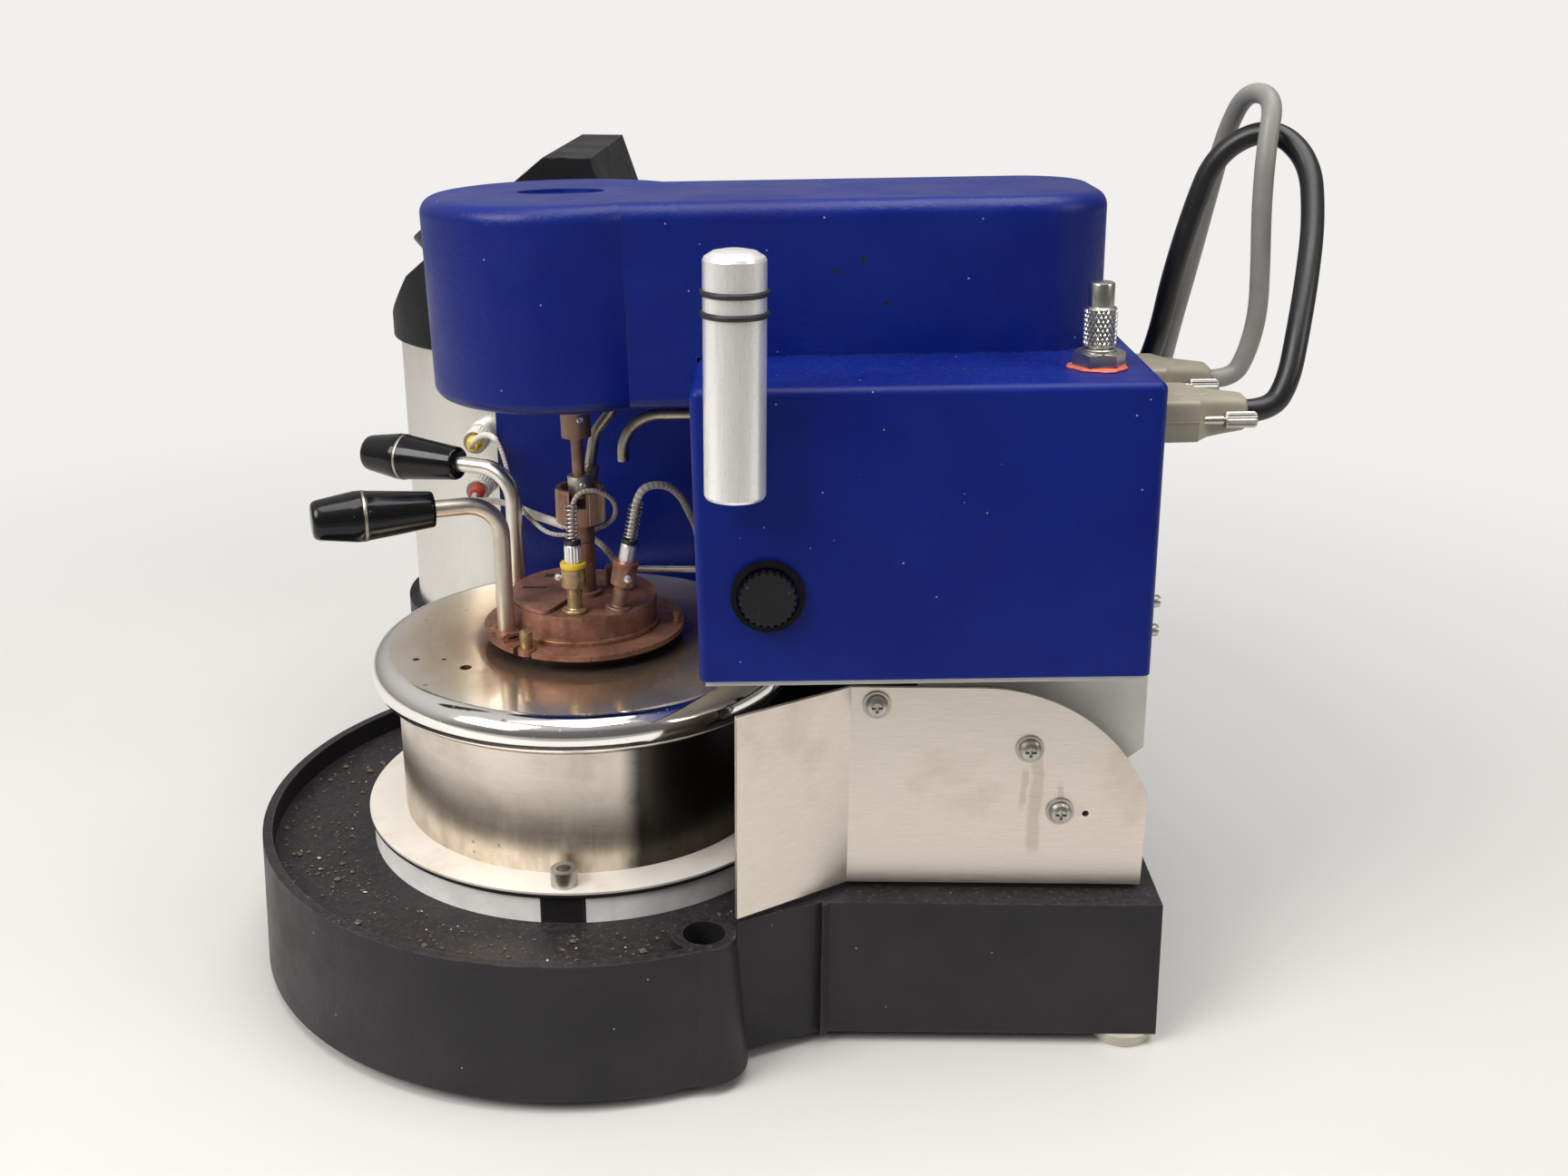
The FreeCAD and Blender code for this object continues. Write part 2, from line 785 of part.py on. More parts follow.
def make_foot_screws():
    """Screws that hold the feet to the bottom plate."""
    screws = []
    for x, y in foot_places:
        top = -foot_height + foot_screw_head_height + over
        head = disc(foot_screw_head_r, top - foot_screw_head_height, top, x, y)
        shank = disc(foot_screw_r, top - over, top + foot_screw_length, x, y)
        screws.append(fused([head, shank]))
    return Part.Compound(screws)


def make_skirt_ring():
    """White ring under the steel plate, open for the screw lug in front."""
    body = ring(skirt_r, skirt_inner_r, tray_floor, skirt_top)
    half = skirt_notch_width / 2
    body = body.cut(block(-half, half, -plate_r, 0, tray_floor - over, skirt_top + over))
    for turn in cap_screw_turns:
        x, y = polar(cap_screw_ring_r, turn)
        body = body.cut(disc(cap_screw_shank_r + run_fit, tray_floor - over, skirt_top + over, x, y))
    return body


def make_stove_gasket():
    """Thin black gasket between ring and plate."""
    body = ring(gasket_r, skirt_inner_r, skirt_top, gasket_top)
    for turn in cap_screw_turns:
        x, y = polar(cap_screw_ring_r, turn)
        body = body.cut(disc(cap_screw_shank_r + run_fit, skirt_top - over, gasket_top + over, x, y))
    return body


def make_stove_plate():
    """Steel disc that carries the stove."""
    body = disc(plate_r, gasket_top, plate_top)
    for turn in cap_screw_turns:
        x, y = polar(cap_screw_ring_r, turn)
        body = body.cut(disc(cap_screw_shank_r + run_fit, gasket_top - over, plate_top + over, x, y))
    return body


def make_plate_screws():
    """Cap screws through the plate into the base."""
    screws = []
    for turn in cap_screw_turns:
        x, y = polar(cap_screw_ring_r, turn)
        head = disc(cap_screw_head_r, plate_top, plate_top + cap_screw_head_height, x, y)
        head = head.cut(disc(cap_screw_socket_r, plate_top + cap_screw_head_height
                             - cap_screw_socket_depth, plate_top + cap_screw_head_height + over, x, y))
        shank = disc(cap_screw_shank_r, plate_top - cap_screw_length, plate_top + over, x, y)
        screws.append(fused([head, shank]))
    return Part.Compound(screws)


def make_stove_cylinder():
    """Brushed wall of the stove."""
    return ring(stove_r, stove_r - stove_wall, plate_top, dome_top - dome_wall)


def make_stove_dome():
    """Polished top with a rolled edge, open in the middle for the cup."""
    middle = dome_top - dome_nose_r
    lip = math.radians(-dome_lip_turn)
    inner = dome_nose_r - dome_wall

    def at(radius, angle):
        return V(dome_nose_ring_r + radius * math.cos(angle), 0, middle + radius * math.sin(angle))

    edges = [
        Part.LineSegment(V(dome_hole_r, 0, dome_top), V(dome_nose_ring_r, 0, dome_top)).toShape(),
        Part.Arc(V(dome_nose_ring_r, 0, dome_top), at(dome_nose_r, 0), at(dome_nose_r, lip)).toShape(),
        Part.LineSegment(at(dome_nose_r, lip), at(inner, lip)).toShape(),
        Part.Arc(at(inner, lip), at(inner, 0), V(dome_nose_ring_r, 0, middle + inner)).toShape(),
        Part.LineSegment(V(dome_nose_ring_r, 0, middle + inner),
                         V(dome_hole_r, 0, middle + inner)).toShape(),
        Part.LineSegment(V(dome_hole_r, 0, middle + inner), V(dome_hole_r, 0, dome_top)).toShape()]
    body = Part.Face(Part.Wire(edges)).revolve(V(0, 0, 0), UP, 360)
    for x, y, r in dome_small_holes:
        body = body.cut(disc(r, middle, dome_top + over, x, y))
    return body


def make_heater_block():
    """Cast block with the cup's air bath; its neck carries the cup's flange."""
    body = fused([disc(heater_r, plate_top, heater_shoulder),
                  disc(heater_neck_r, heater_shoulder - over, flange_low - seat_gap)])
    return body.cut(disc(cavity_r, plate_top + heater_floor, flange_top))


def make_heater_band():
    """Band heater round the block."""
    return ring(heater_r + band_thickness, heater_r, band_low, band_high)


def make_ear(turn, inner, z0, z1):
    """Two riveted leaves that hold a handle on the rim."""
    body = block(inner, ear_outer_r, -ear_width / 2, ear_width / 2, z0, z1)
    slit = block(inner + leaf_gap, ear_outer_r + over, -ear_width, ear_width,
                 z0 + (z1 - z0 - leaf_gap) / 2, z0 + (z1 - z0 + leaf_gap) / 2)
    hold = disc(handle_r + leaf_gap, z0, z1, cup_handle_ring_r, 0)
    body = body.cut(slit.cut(hold))
    side = ear_width / 2 - rivet_r / 2
    for y in (-side, side):
        head = disc(rivet_r / 2, z0, z1 + rivet_height / 2, ear_outer_r - rivet_r, y)
        body = fused([body, head])
    return spun(body, turn)


def make_test_cup():
    """Cup with its flange, handle ear, latch post and stop pin."""
    body = fused([disc(cup_outer_r, cup_low, flange_top), disc(flange_r, flange_low, flange_top)])
    body = body.cut(disc(cup_inner_r, cup_low + cup_floor, flange_top + over))
    notch = block(flange_r - notch_depth, flange_r + over, -notch_width / 2, notch_width / 2,
                  flange_low - over, flange_top + over)
    body = body.cut(spun(notch, notch_turn))
    x, y = polar(post_ring_r, notch_turn)
    post = disc(post_r, flange_low, post_top, x, y)
    collar = disc(post_collar_r, flange_low, flange_low + post_collar_height, x, y)
    px, py = polar(stop_pin_ring_r, stop_pin_turn)
    pin = disc(stop_pin_r, flange_low, flange_top + stop_pin_height, px, py)
    ear = make_ear(cup_handle_turn, ear_inner_r, flange_top, flange_top + ear_height)
    return fused([body, post, collar, pin, ear])


def handle_ends(turn, ring_at, side):
    """Foot point and level direction of a handle."""
    x, y = polar(ring_at, turn)
    splay = math.radians(handle_splay)
    return x, y, V(-math.cos(splay), side * math.sin(splay), 0)


def make_handle(turn, ring_at, side, foot, height):
    """Bent round bar that stands on an ear and ends inside its grip."""
    x, y, way = handle_ends(turn, ring_at, side)
    reach = grip_gap_length + grip_bore_depth
    end = V(x, y, height) + way * reach
    path = rounded_path([(x, y, foot), (x, y, height), (end.x, end.y, end.z)], [handle_bend])
    return piped(path, handle_r)


def make_grip(turn, ring_at, side, height):
    """Black tapered grip, widest at its ring, with the bar's bore."""
    x, y, way = handle_ends(turn, ring_at, side)
    front = V(x, y, height) + way * grip_gap_length
    bore = handle_r + run_fit / 2
    swell = (grip_ring_r - grip_end_r) * grip_swell_share
    rear_mid = (grip_end_r + grip_ring_r) / 2 + swell
    nose_mid = (grip_ring_r + grip_tip_r) / 2 + 2 * swell
    nose = grip_length - grip_rear_length
    outline = [
        (bore, 0), (grip_end_r - swell, 0), (grip_end_r, swell), (rear_mid, grip_rear_length / 2),
        (grip_ring_r, grip_rear_length), (nose_mid, grip_rear_length + nose * grip_nose_share),
        (grip_tip_r, grip_length - swell), (grip_tip_r - swell, grip_length), (0, grip_length),
        (0, grip_bore_depth), (bore, grip_bore_depth)]
    return turned(outline, front, way)


def make_lid_cover():
    """Lid with its rim ring, stirrer column, gas pipe, igniter fitting and handle ear."""
    body = disc(lid_r, lid_low, lid_top)
    body = body.cut(disc(lid_r - lid_wall, lid_low - over, lid_top - lid_plate))
    rim = ring(lid_ring_r, lid_r - over, lid_low, lid_low + lid_ring_height)
    column = disc(column_r, lid_top - over, column_top)
    ear_low = lid_low + seat_gap
    ear = make_ear(lid_handle_turn, lid_r - over, ear_low, flange_top + ear_height)
    post = disc(pipe_post_r, lid_top - over, pipe_height + pipe_r, pipe_start_x, pipe_y)
    pipe = rod((pipe_start_x, pipe_y, pipe_height), (pipe_end_x, pipe_y, pipe_height), pipe_r)
    fx, fy = fitting_base
    lean = V(fitting_lean[0], fitting_lean[1], 1).normalize()
    fitting = Part.makeCylinder(fitting_r, fitting_length, V(fx, fy, lid_top - over), lean)
    body = fused([body, rim, column, ear, post, pipe, fitting])
    body = body.cut(disc(shaft_r + run_fit, lid_low, column_top + over))
    vx, vy = polar(vent_ring_r, vent_turn)
    body = body.cut(disc(vent_r, lid_low, lid_top + over, vx, vy))
    for x, y, lean_turn in ((yellow_x, yellow_y, yellow_lean), (red_x, red_y, red_lean)):
        hole = disc(sensor_rod_r + run_fit, -lid_plate * 3, lid_plate)
        body = body.cut(sensor_place(hole, x, y, lean_turn))
    return body


def sensor_place(shape, x, y, lean):
    """Shape drawn on the Z axis from the lid's top, put on its sensor's axis."""
    result = spun(shape, lean, V(0, 0, 0), BACK)
    result.translate(V(x, y, lid_top))
    return result


def make_sensor_sockets():
    """Brass feet, necks and sockets of the two sensors."""
    parts = []
    for x, y, lean in ((yellow_x, yellow_y, yellow_lean), (red_x, red_y, red_lean)):
        foot = disc(sensor_foot_r, 0, sensor_foot_height)
        sunk = sensor_foot_r * math.sin(math.radians(lean))
        neck = disc(sensor_neck_r, 0, sensor_neck_length)
        body = fused([foot, neck, disc(sensor_socket_r, sensor_neck_length - over, socket_top_s)])
        body = body.cut(disc(sensor_rod_r + run_fit, -over, socket_top_s))
        body = body.cut(disc(sensor_sleeve_r + run_fit, socket_top_s - sensor_sleeve_depth,
                             socket_top_s + over))
        placed = sensor_place(body, x, y, lean)
        if sunk > 0:
            wedge = disc(sensor_foot_r, lid_top, lid_top + sunk * 2, x + sunk / 2, y)
            wedge = wedge.cut(sensor_place(disc(sensor_foot_r * 3, 0, sensor_foot_r * 3), x, y, lean))
            wedge = wedge.cut(sensor_place(disc(sensor_rod_r + run_fit, -sunk * 3, over), x, y, lean))
            placed = fused([placed, wedge])
            placed = placed.cut(block(x - plate_r, x + plate_r, y - plate_r, y + plate_r,
                                      lid_top - sensor_foot_r, lid_top))
        parts.append(placed)
    return Part.Compound(parts)


def make_sensor_probes():
    """Sleeves and rods of the two sensors, as far down as each one dips."""
    parts = []
    rows = ((yellow_x, yellow_y, yellow_lean, yellow_rod), (red_x, red_y, red_lean, red_rod))
    for x, y, lean, dip in rows:
        sleeve = disc(sensor_sleeve_r, socket_top_s - sensor_sleeve_depth, sleeve_top_s)
        collar = disc(sensor_ring_r, sleeve_top_s, coil_low_s)
        probe = disc(sensor_rod_r, -dip, sleeve_top_s)
        parts.append(sensor_place(fused([sleeve, collar, probe]), x, y, lean))
    return Part.Compound(parts)


def make_strain_springs():
    """Coiled strain springs on the sensors."""
    parts = []
    rows = (("yellow spring", yellow_x, yellow_y, yellow_lean, yellow_coil_r),
            ("red spring", red_x, red_y, red_lean, red_coil_r))
    for name, x, y, lean, radius in rows:
        spring = coil(name, radius)
        spring.translate(V(0, 0, coil_low_s))
        parts.append(sensor_place(spring, x, y, lean))
    return Part.Compound(parts)


def make_shutter_plate():
    """Shutter that turns on the lid about the stirrer column."""
    a0 = math.radians(shutter_from)
    a1 = math.radians(shutter_to)
    mid = (a0 + a1) / 2

    def at(radius, angle):
        return V(radius * math.cos(angle), radius * math.sin(angle), shutter_low)

    edges = [
        Part.Arc(at(shutter_r, a0), at(shutter_r, mid), at(shutter_r, a1)).toShape(),
        Part.LineSegment(at(shutter_r, a1), at(shutter_inner_r, a1)).toShape(),
        Part.Arc(at(shutter_inner_r, a1), at(shutter_inner_r, mid), at(shutter_inner_r, a0)).toShape(),
        Part.LineSegment(at(shutter_inner_r, a0), at(shutter_r, a0)).toShape()]
    plate = Part.Face(Part.Wire(edges)).extrude(V(0, 0, shutter_thickness))
    plate = rounded(plate, shutter_thickness * 2, lambda e: is_upright(e) and far_out(e))
    hub = ring(shutter_inner_r + shutter_thickness, column_r + run_fit, shutter_low, shutter_high)
    plate = fused([plate, hub])
    slot = block(-shutter_slot_length / 2, shutter_slot_length / 2, -shutter_slot_width / 2,
                 shutter_slot_width / 2, shutter_low - over, shutter_high + over)
    slot.translate(V(shutter_slot_x, shutter_slot_y, 0))
    port = block(-shutter_port_length / 2, shutter_port_length / 2, -shutter_port_width / 2,
                 shutter_port_width / 2, shutter_low - over, shutter_high + over)
    port.translate(V(shutter_port_x, shutter_port_y, 0))
    return plate.cut(slot).cut(port)


def is_upright(edge):
    """True for an edge that stands."""
    box = edge.BoundBox
    return box.ZLength > shutter_thickness / 2 and box.XLength + box.YLength < seat_gap


def far_out(edge):
    """True for an edge far from the cup's axis."""
    box = edge.BoundBox
    return math.hypot(box.XMin, box.YMin) > shutter_r / 2


def make_stirrer():
    """Shaft with two paddle sets, hub and knurled open collar with its claw slots."""
    hub = disc(hub_r, hub_low, collar_low)
    collar = disc(collar_r, collar_low, collar_top)
    collar = collar.cut(disc(collar_bore_r, collar_floor, collar_top + over))
    collar = collar.cut(block(-claw_width / 2, claw_width / 2, -collar_r - over, collar_r + over,
                              collar_top - claw_depth, collar_top + over))
    shaft = disc(shaft_r, shaft_low, collar_low)
    shapes = [hub, collar, shaft]
    for reach, height in ((lower_paddle_r, lower_paddle_z), (upper_paddle_r, upper_paddle_z)):
        half = paddle_hub_height / 2
        shapes.append(disc(paddle_hub_r, height - half, height + half))
        for side in (0, 180):
            blade = block(0, reach, -paddle_thickness / 2, paddle_thickness / 2,
                          height - paddle_width / 2, height + paddle_width / 2)
            blade = spun(blade, paddle_pitch, V(0, 0, height), RIGHT)
            shapes.append(spun(blade, side))
    return fused(shapes)


def side_outline(x0, x1, low, high, corner):
    """Closed outline in XZ of a side plate, with a large quarter-round rear top corner."""
    c = V(pivot_x, 0, pivot_z)
    top_turn = math.asin(min(1, (high - pivot_z) / corner))
    top = V(c.x + corner * math.cos(top_turn), 0, high)
    end_turn = math.acos((x1 - c.x) / corner)
    end = V(x1, 0, c.z + corner * math.sin(end_turn))
    mid_turn = (top_turn + end_turn) / 2
    mid = V(c.x + corner * math.cos(mid_turn), 0, c.z + corner * math.sin(mid_turn))
    edges = [
        Part.LineSegment(V(x0, 0, low), V(x1, 0, low)).toShape(),
        Part.LineSegment(V(x1, 0, low), end).toShape(),
        Part.Arc(end, mid, top).toShape(),
        Part.LineSegment(top, V(x0, 0, high)).toShape(),
        Part.LineSegment(V(x0, 0, high), V(x0, 0, low)).toShape()]
    return Part.Face(Part.Wire(edges))


def make_shield_plate():
    """Steel shield: flat side with a round corner, rear flange and bent wing."""
    high = pivot_z + shield_corner_r
    side = side_outline(shield_front_x, shield_back_x, shield_low, high, shield_corner_r)
    body = side.extrude(V(0, shield_thickness, 0))
    body.translate(V(0, shield_y, 0))
    flange_top_z = pivot_z + math.sqrt(shield_corner_r ** 2 - (shield_back_x - pivot_x) ** 2)
    flange = block(shield_back_x - shield_thickness, shield_back_x, shield_y,
                   shield_y + flange_depth, shield_low, flange_top_z)
    run = V(wing_tip_x - shield_front_x, wing_tip_y - shield_y, 0)
    side_way = V(-run.y, run.x, 0).normalize() * -shield_thickness
    wing = polygon_prism([
        (shield_front_x, shield_y, shield_low), (wing_tip_x, wing_tip_y, shield_low),
        (wing_tip_x + side_way.x, wing_tip_y + side_way.y, shield_low),
        (shield_front_x + side_way.x, shield_y + side_way.y, shield_low),
        (shield_front_x + shield_thickness, shield_y + shield_thickness, shield_low),
        (shield_front_x + shield_thickness, shield_y, shield_low)], V(0, 0, high - shield_low))
    body = fused([body, flange, wing])
    for x, z in pan_places:
        body = body.cut(rod((x, shield_y - over, z), (x, shield_y + flange_depth, z),
                            pan_shank_r + run_fit))
    x, z = pin_hole_place
    return body.cut(rod((x, shield_y - over, z), (x, shield_y + shield_thickness + over, z), pin_hole_r))


def make_shield_screws():
    """Pan-head screws with washers, from the shield into the chassis."""
    screws = []
    for x, z in pan_places:
        face = shield_y - pan_washer_height
        washer = rod((x, face, z), (x, shield_y, z), pan_washer_r)
        profile = [(0, 0), (pan_head_r, 0)]
        for wide, high in pan_head_shares:
            profile.append((pan_head_r * wide, pan_head_height * high))
        profile.append((0, pan_head_height))
        head = turned(profile, V(x, face, z), V(0, -1, 0))
        inner = shield_y + shield_thickness + chassis_thickness - seat_gap
        shank = rod((x, face - over, z), (x, inner, z), pan_shank_r)
        cross = block(x - pan_head_r / 2, x + pan_head_r / 2, face - pan_head_height - over,
                      face - pan_head_height / 2, z - pan_shank_r / 4, z + pan_shank_r / 4)
        cross = cross.fuse(spun(cross, 90, V(x, 0, z), BACK))
        screws.append(fused([washer, head, shank]).cut(cross))
    return Part.Compound(screws)


def make_chassis_frame():
    """Folded frame on the base: floor, two side plates and the bar that the head rests on."""
    near_y = shield_y + shield_thickness
    high = pivot_z + shield_corner_r - over
    corner = shield_corner_r - over
    plate = side_outline(chassis_front_x, chassis_back_x, base_height, high, corner)
    near = plate.extrude(V(0, chassis_thickness, 0))
    near.translate(V(0, near_y, 0))
    far = plate.extrude(V(0, chassis_thickness, 0))
    far.translate(V(0, chassis_far_y - chassis_thickness, 0))
    floor = block(chassis_front_x, chassis_back_x, near_y, chassis_far_y, base_height,
                  base_height + chassis_floor)
    bar = block(rest_bar_x, rest_bar_x + rest_bar_width, near_y, chassis_far_y,
                high - rest_bar_height, high)
    body = fused([near, far, floor, bar])
    for y in (near_y + chassis_front_x / 4, chassis_far_y - chassis_front_x / 4):
        x = rest_bar_x + rest_bar_width / 2
        under = box_z0 - frame_floor
        turn = math.radians(head_rest_turn)
        stop = pivot_z + (under - pivot_z) * math.cos(turn) - (x - pivot_x) * math.sin(turn)
        pad = disc(rest_pad_r, high - over, stop - seat_gap - rest_pad_r * abs(math.sin(turn)), x, y)
        body = fused([body, pad])
    body = body.cut(rod((pivot_x, near_y - over, pivot_z), (pivot_x, chassis_far_y + over, pivot_z),
                        shaft_pivot_r + run_fit))
    for x, z in pan_places:
        body = body.cut(rod((x, near_y - over, z), (x, near_y + chassis_thickness + over, z),
                            pan_shank_r + run_fit))
    return body


def make_pivot_shaft():
    """Shaft that the head turns on."""
    return rod((pivot_x, shield_y + shield_thickness + seat_gap, pivot_z),
               (pivot_x, chassis_far_y - seat_gap, pivot_z), shaft_pivot_r)


def make_head_frame():
    """Pale frame inside the head: floor, two side plates and their pivot bosses."""
    low = box_z0 - frame_floor
    floor = block(box_x0 + box_wall, box_x1 - box_wall, box_y0 + box_wall, box_y1 - box_wall,
                  low, box_z0)
    floor = fused([floor, block(side_front_x, side_back_x, side_near_y, side_far_y, low, box_z0)])
    shapes = [floor]
    foot = pivot_boss_r * pivot_foot_share
    for y in (side_near_y, side_far_y - side_plate):
        shapes.append(polygon_prism([
            (side_front_x, y, box_z0), (side_back_x, y, box_z0), (side_back_x, y, side_back_low),
            (pivot_x + foot, y, pivot_z - foot / 2), (pivot_x - foot, y, pivot_z - foot / 2)],
            V(0, side_plate, 0)))
        middle = y + side_plate / 2
        shapes.append(rod((pivot_x, middle - pivot_boss_width / 2, pivot_z),
                          (pivot_x, middle + pivot_boss_width / 2, pivot_z), pivot_boss_r))
    body = fused(shapes)
    return body.cut(rod((pivot_x, side_near_y - pivot_boss_width, pivot_z),
                        (pivot_x, side_far_y + pivot_boss_width, pivot_z),
                        shaft_pivot_r + run_fit))


def make_box_cover():
    """Blue cover of the head's box, open below."""
    body = block(box_x0, box_x1, box_y0, box_y1, box_z0, box_z1)
    body = rounded(body, box_round, lambda e: not flat_at(e, box_z0))
    body = body.cut(block(box_x0 + box_wall, box_x1 - box_wall, box_y0 + box_wall, box_y1 - box_wall,
                          box_z0 - over, box_z1 - box_wall))
    body = body.cut(rod((cap_x, box_y0 - over, cap_z), (cap_x, box_y0 + box_wall + over, cap_z),
                        cap_neck_r + run_fit))
    body = body.cut(disc(plunger_rod_r + run_fit, box_z1 - box_wall - over, box_z1 + over,
                         plunger_x, plunger_y))
    body = body.cut(rod((box_x0 - over, nozzle_y, nozzle_z), (box_x0 + box_wall + over, nozzle_y,
                                                             nozzle_z), nozzle_r))
    return body


def arm_outline(inset, z):
    """Closed outline of boss and arm at a height."""
    r = boss_r - inset
    near = arm_near_half - inset
    far = arm_far_half - inset
    end = arm_end_x - inset
    corner = arm_end_round - inset
    meet_near = math.sqrt(r * r - near * near)
    meet_far = math.sqrt(r * r - far * far)
    k = corner * (1 - math.cos(math.pi / 4))
    edges = [
        Part.Arc(V(spindle_x + meet_far, far, z), V(spindle_x - r, 0, z),
                 V(spindle_x + meet_near, -near, z)).toShape(),
        Part.LineSegment(V(spindle_x + meet_near, -near, z), V(end - corner, -near, z)).toShape(),
        Part.Arc(V(end - corner, -near, z), V(end - k, -near + k, z),
                 V(end, -near + corner, z)).toShape(),
        Part.LineSegment(V(end, -near + corner, z), V(end, far - corner, z)).toShape(),
        Part.Arc(V(end, far - corner, z), V(end - k, far - k, z), V(end - corner, far, z)).toShape(),
        Part.LineSegment(V(end - corner, far, z), V(spindle_x + meet_far, far, z)).toShape()]
    return Part.Face(Part.Wire(edges))


def make_arm_cover():
    """Blue cover of boss and arm: hollow, with a floor in front of the box."""
    body = arm_outline(0, arm_low).extrude(V(0, 0, arm_z1 - arm_low))
    body = rounded(body, arm_top_round, lambda e: flat_at(e, arm_z1))
    body = rounded(body, arm_bottom_round, lambda e: flat_at(e, arm_low))
    body = body.cut(arm_outline(arm_wall, arm_low + arm_wall).extrude(
        V(0, 0, arm_z1 - arm_low - 2 * arm_wall)))
    body = body.cut(block(box_x0, arm_end_x + over, -boss_r, boss_r, arm_low - over, box_z1))
    body = body.cut(disc(boss_hole_r, arm_low - over, arm_low + arm_wall + over, spindle_x, 0))
    oval = disc(recess_half_width, arm_z1 - recess_depth, arm_z1 + over)
    matrix = FreeCAD.Matrix()
    matrix.scale(recess_half_length / recess_half_width, 1, 1)
    oval = oval.transformGeometry(matrix)
    oval.translate(V(recess_x, 0, 0))
    wall = block(box_x0 - arm_wall, box_x0, -arm_near_half + arm_wall / 2,
                 arm_far_half - arm_wall / 2, arm_low + arm_wall / 2, box_z1 + arm_wall)
    body = fused([body, wall])
    return body.cut(oval)


def make_stirrer_motor():
    """Motor inside the boss, on the boss's floor."""
    low = arm_low + arm_wall
    body = fused([disc(motor_r, low, low + motor_height, spindle_x, 0),
                  disc(motor_nose_r, low + motor_height - over, low + motor_height + motor_nose_r,
                       spindle_x, 0)])
    bore = disc(motor_shaft_r + run_fit, low - over, low + motor_height - motor_nose_r, spindle_x, 0)
    return body.cut(bore)


def make_drive_spindle():
    """Coupling, shaft and sleeve with the cross pin that drives the collar."""
    low = arm_low + arm_wall
    shaft = disc(motor_shaft_r, low - over, low + motor_height / 2, spindle_x, 0)
    coupling = disc(coupling_r, coupling_low, low - seat_gap - wall_gap, spindle_x, 0)
    neck = disc(motor_shaft_r, low - 2 * over, low, spindle_x, 0)
    thin = disc(spindle_r, sleeve_high - over, coupling_low + over, spindle_x, 0)
    sleeve = disc(sleeve_r, sleeve_low, sleeve_high, spindle_x, 0)
    half = cross_pin_length / 2
    pin = rod((spindle_x, -half, cross_pin_z), (spindle_x, half, cross_pin_z), cross_pin_r)
    return fused([shaft, coupling, neck, thin, sleeve, pin])


def make_nozzle_tube():
    """Steel tube that leaves the box and bends down over the lid."""
    points = [(box_x0, nozzle_y, nozzle_z), (nozzle_x, nozzle_y, nozzle_z),
              (nozzle_x, nozzle_y, nozzle_low)]
    path = rounded_path(points, [nozzle_bend])
    tube = piped(path, nozzle_r)
    stub = rod((box_x0, nozzle_y, nozzle_z), (box_x0 + 4 * box_wall, nozzle_y, nozzle_z), nozzle_r)
    bore = disc(nozzle_bore_r, nozzle_low - over, nozzle_low + nozzle_bend / 2, nozzle_x, nozzle_y)
    return fused([tube, stub]).cut(bore)


def make_guide_rod():
    """Bent rod under the boss with a knurled nut at its end."""
    points = [(spindle_x + ahead, guide_y, arm_low - down) for ahead, down in guide_steps]
    path = rounded_path(points, guide_bends)
    bar = piped(path, guide_r)
    tip = V(*points[-1])
    way = (V(*points[-2]) - tip).normalize()
    nut = Part.makeCylinder(guide_knob_r, guide_knob_height, tip, way)
    return fused([bar, nut])


def make_cap_ring():
    """Black ring round the screw cap."""
    outer = rod((cap_x, box_y0 - cap_ring_depth, cap_z), (cap_x, box_y0, cap_z), cap_ring_r)
    return outer.cut(rod((cap_x, box_y0 - cap_ring_depth - over, cap_z),
                         (cap_x, box_y0 + over, cap_z), cap_ring_inner_r))


def make_screw_cap():
    """Serrated cap that screws into the box face."""
    front = box_y0 - cap_reach
    body = rod((cap_x, front, cap_z), (cap_x, box_y0 - seat_gap, cap_z), cap_r)
    neck = rod((cap_x, box_y0 - over, cap_z), (cap_x, box_y0 + 4 * box_wall, cap_z), cap_neck_r)
    body = fused([body, neck])
    for i in range(cap_teeth):
        a = 2 * math.pi * i / cap_teeth
        x = cap_x + cap_r * math.cos(a)
        z = cap_z + cap_r * math.sin(a)
        body = body.cut(rod((x, front - over, z), (x, box_y0 - over, z), cap_tooth_r))
    return body


def make_plunger_nut():
    """Hexagon nut and washer of the index plunger."""
    washer = ring(washer_r, plunger_rod_r + run_fit, box_z1, box_z1 + washer_height,
                  plunger_x, plunger_y)
    corner = nut_flats / 2 / math.cos(math.pi / nut_sides)
    points = []
    for i in range(nut_sides):
        a = 2 * math.pi / nut_sides * i
        points.append((plunger_x + corner * math.cos(a), plunger_y + corner * math.sin(a),
                       box_z1 + washer_height))
    nut = polygon_prism(points, V(0, 0, nut_height))
    nut = nut.cut(disc(plunger_rod_r + run_fit, box_z1, box_z1 + nut_height * 2,
                       plunger_x, plunger_y))
    return Part.Compound([washer, nut])


def make_index_plunger():
    """Pulled plunger: knurled sleeve, smooth tip and the rod down into the box."""
    top = box_z1 + washer_height + nut_height + seat_gap
    knurl = disc(plunger_knurl_r, top, top + plunger_knurl_height, plunger_x, plunger_y)
    tip_top = top + plunger_knurl_height + plunger_tip_height
    tip = disc(plunger_tip_r, top + plunger_knurl_height - over, tip_top, plunger_x, plunger_y)
    shank = disc(plunger_rod_r, box_z1 - plunger_depth, top + over, plunger_x, plunger_y)
    return fused([knurl, tip, shank])


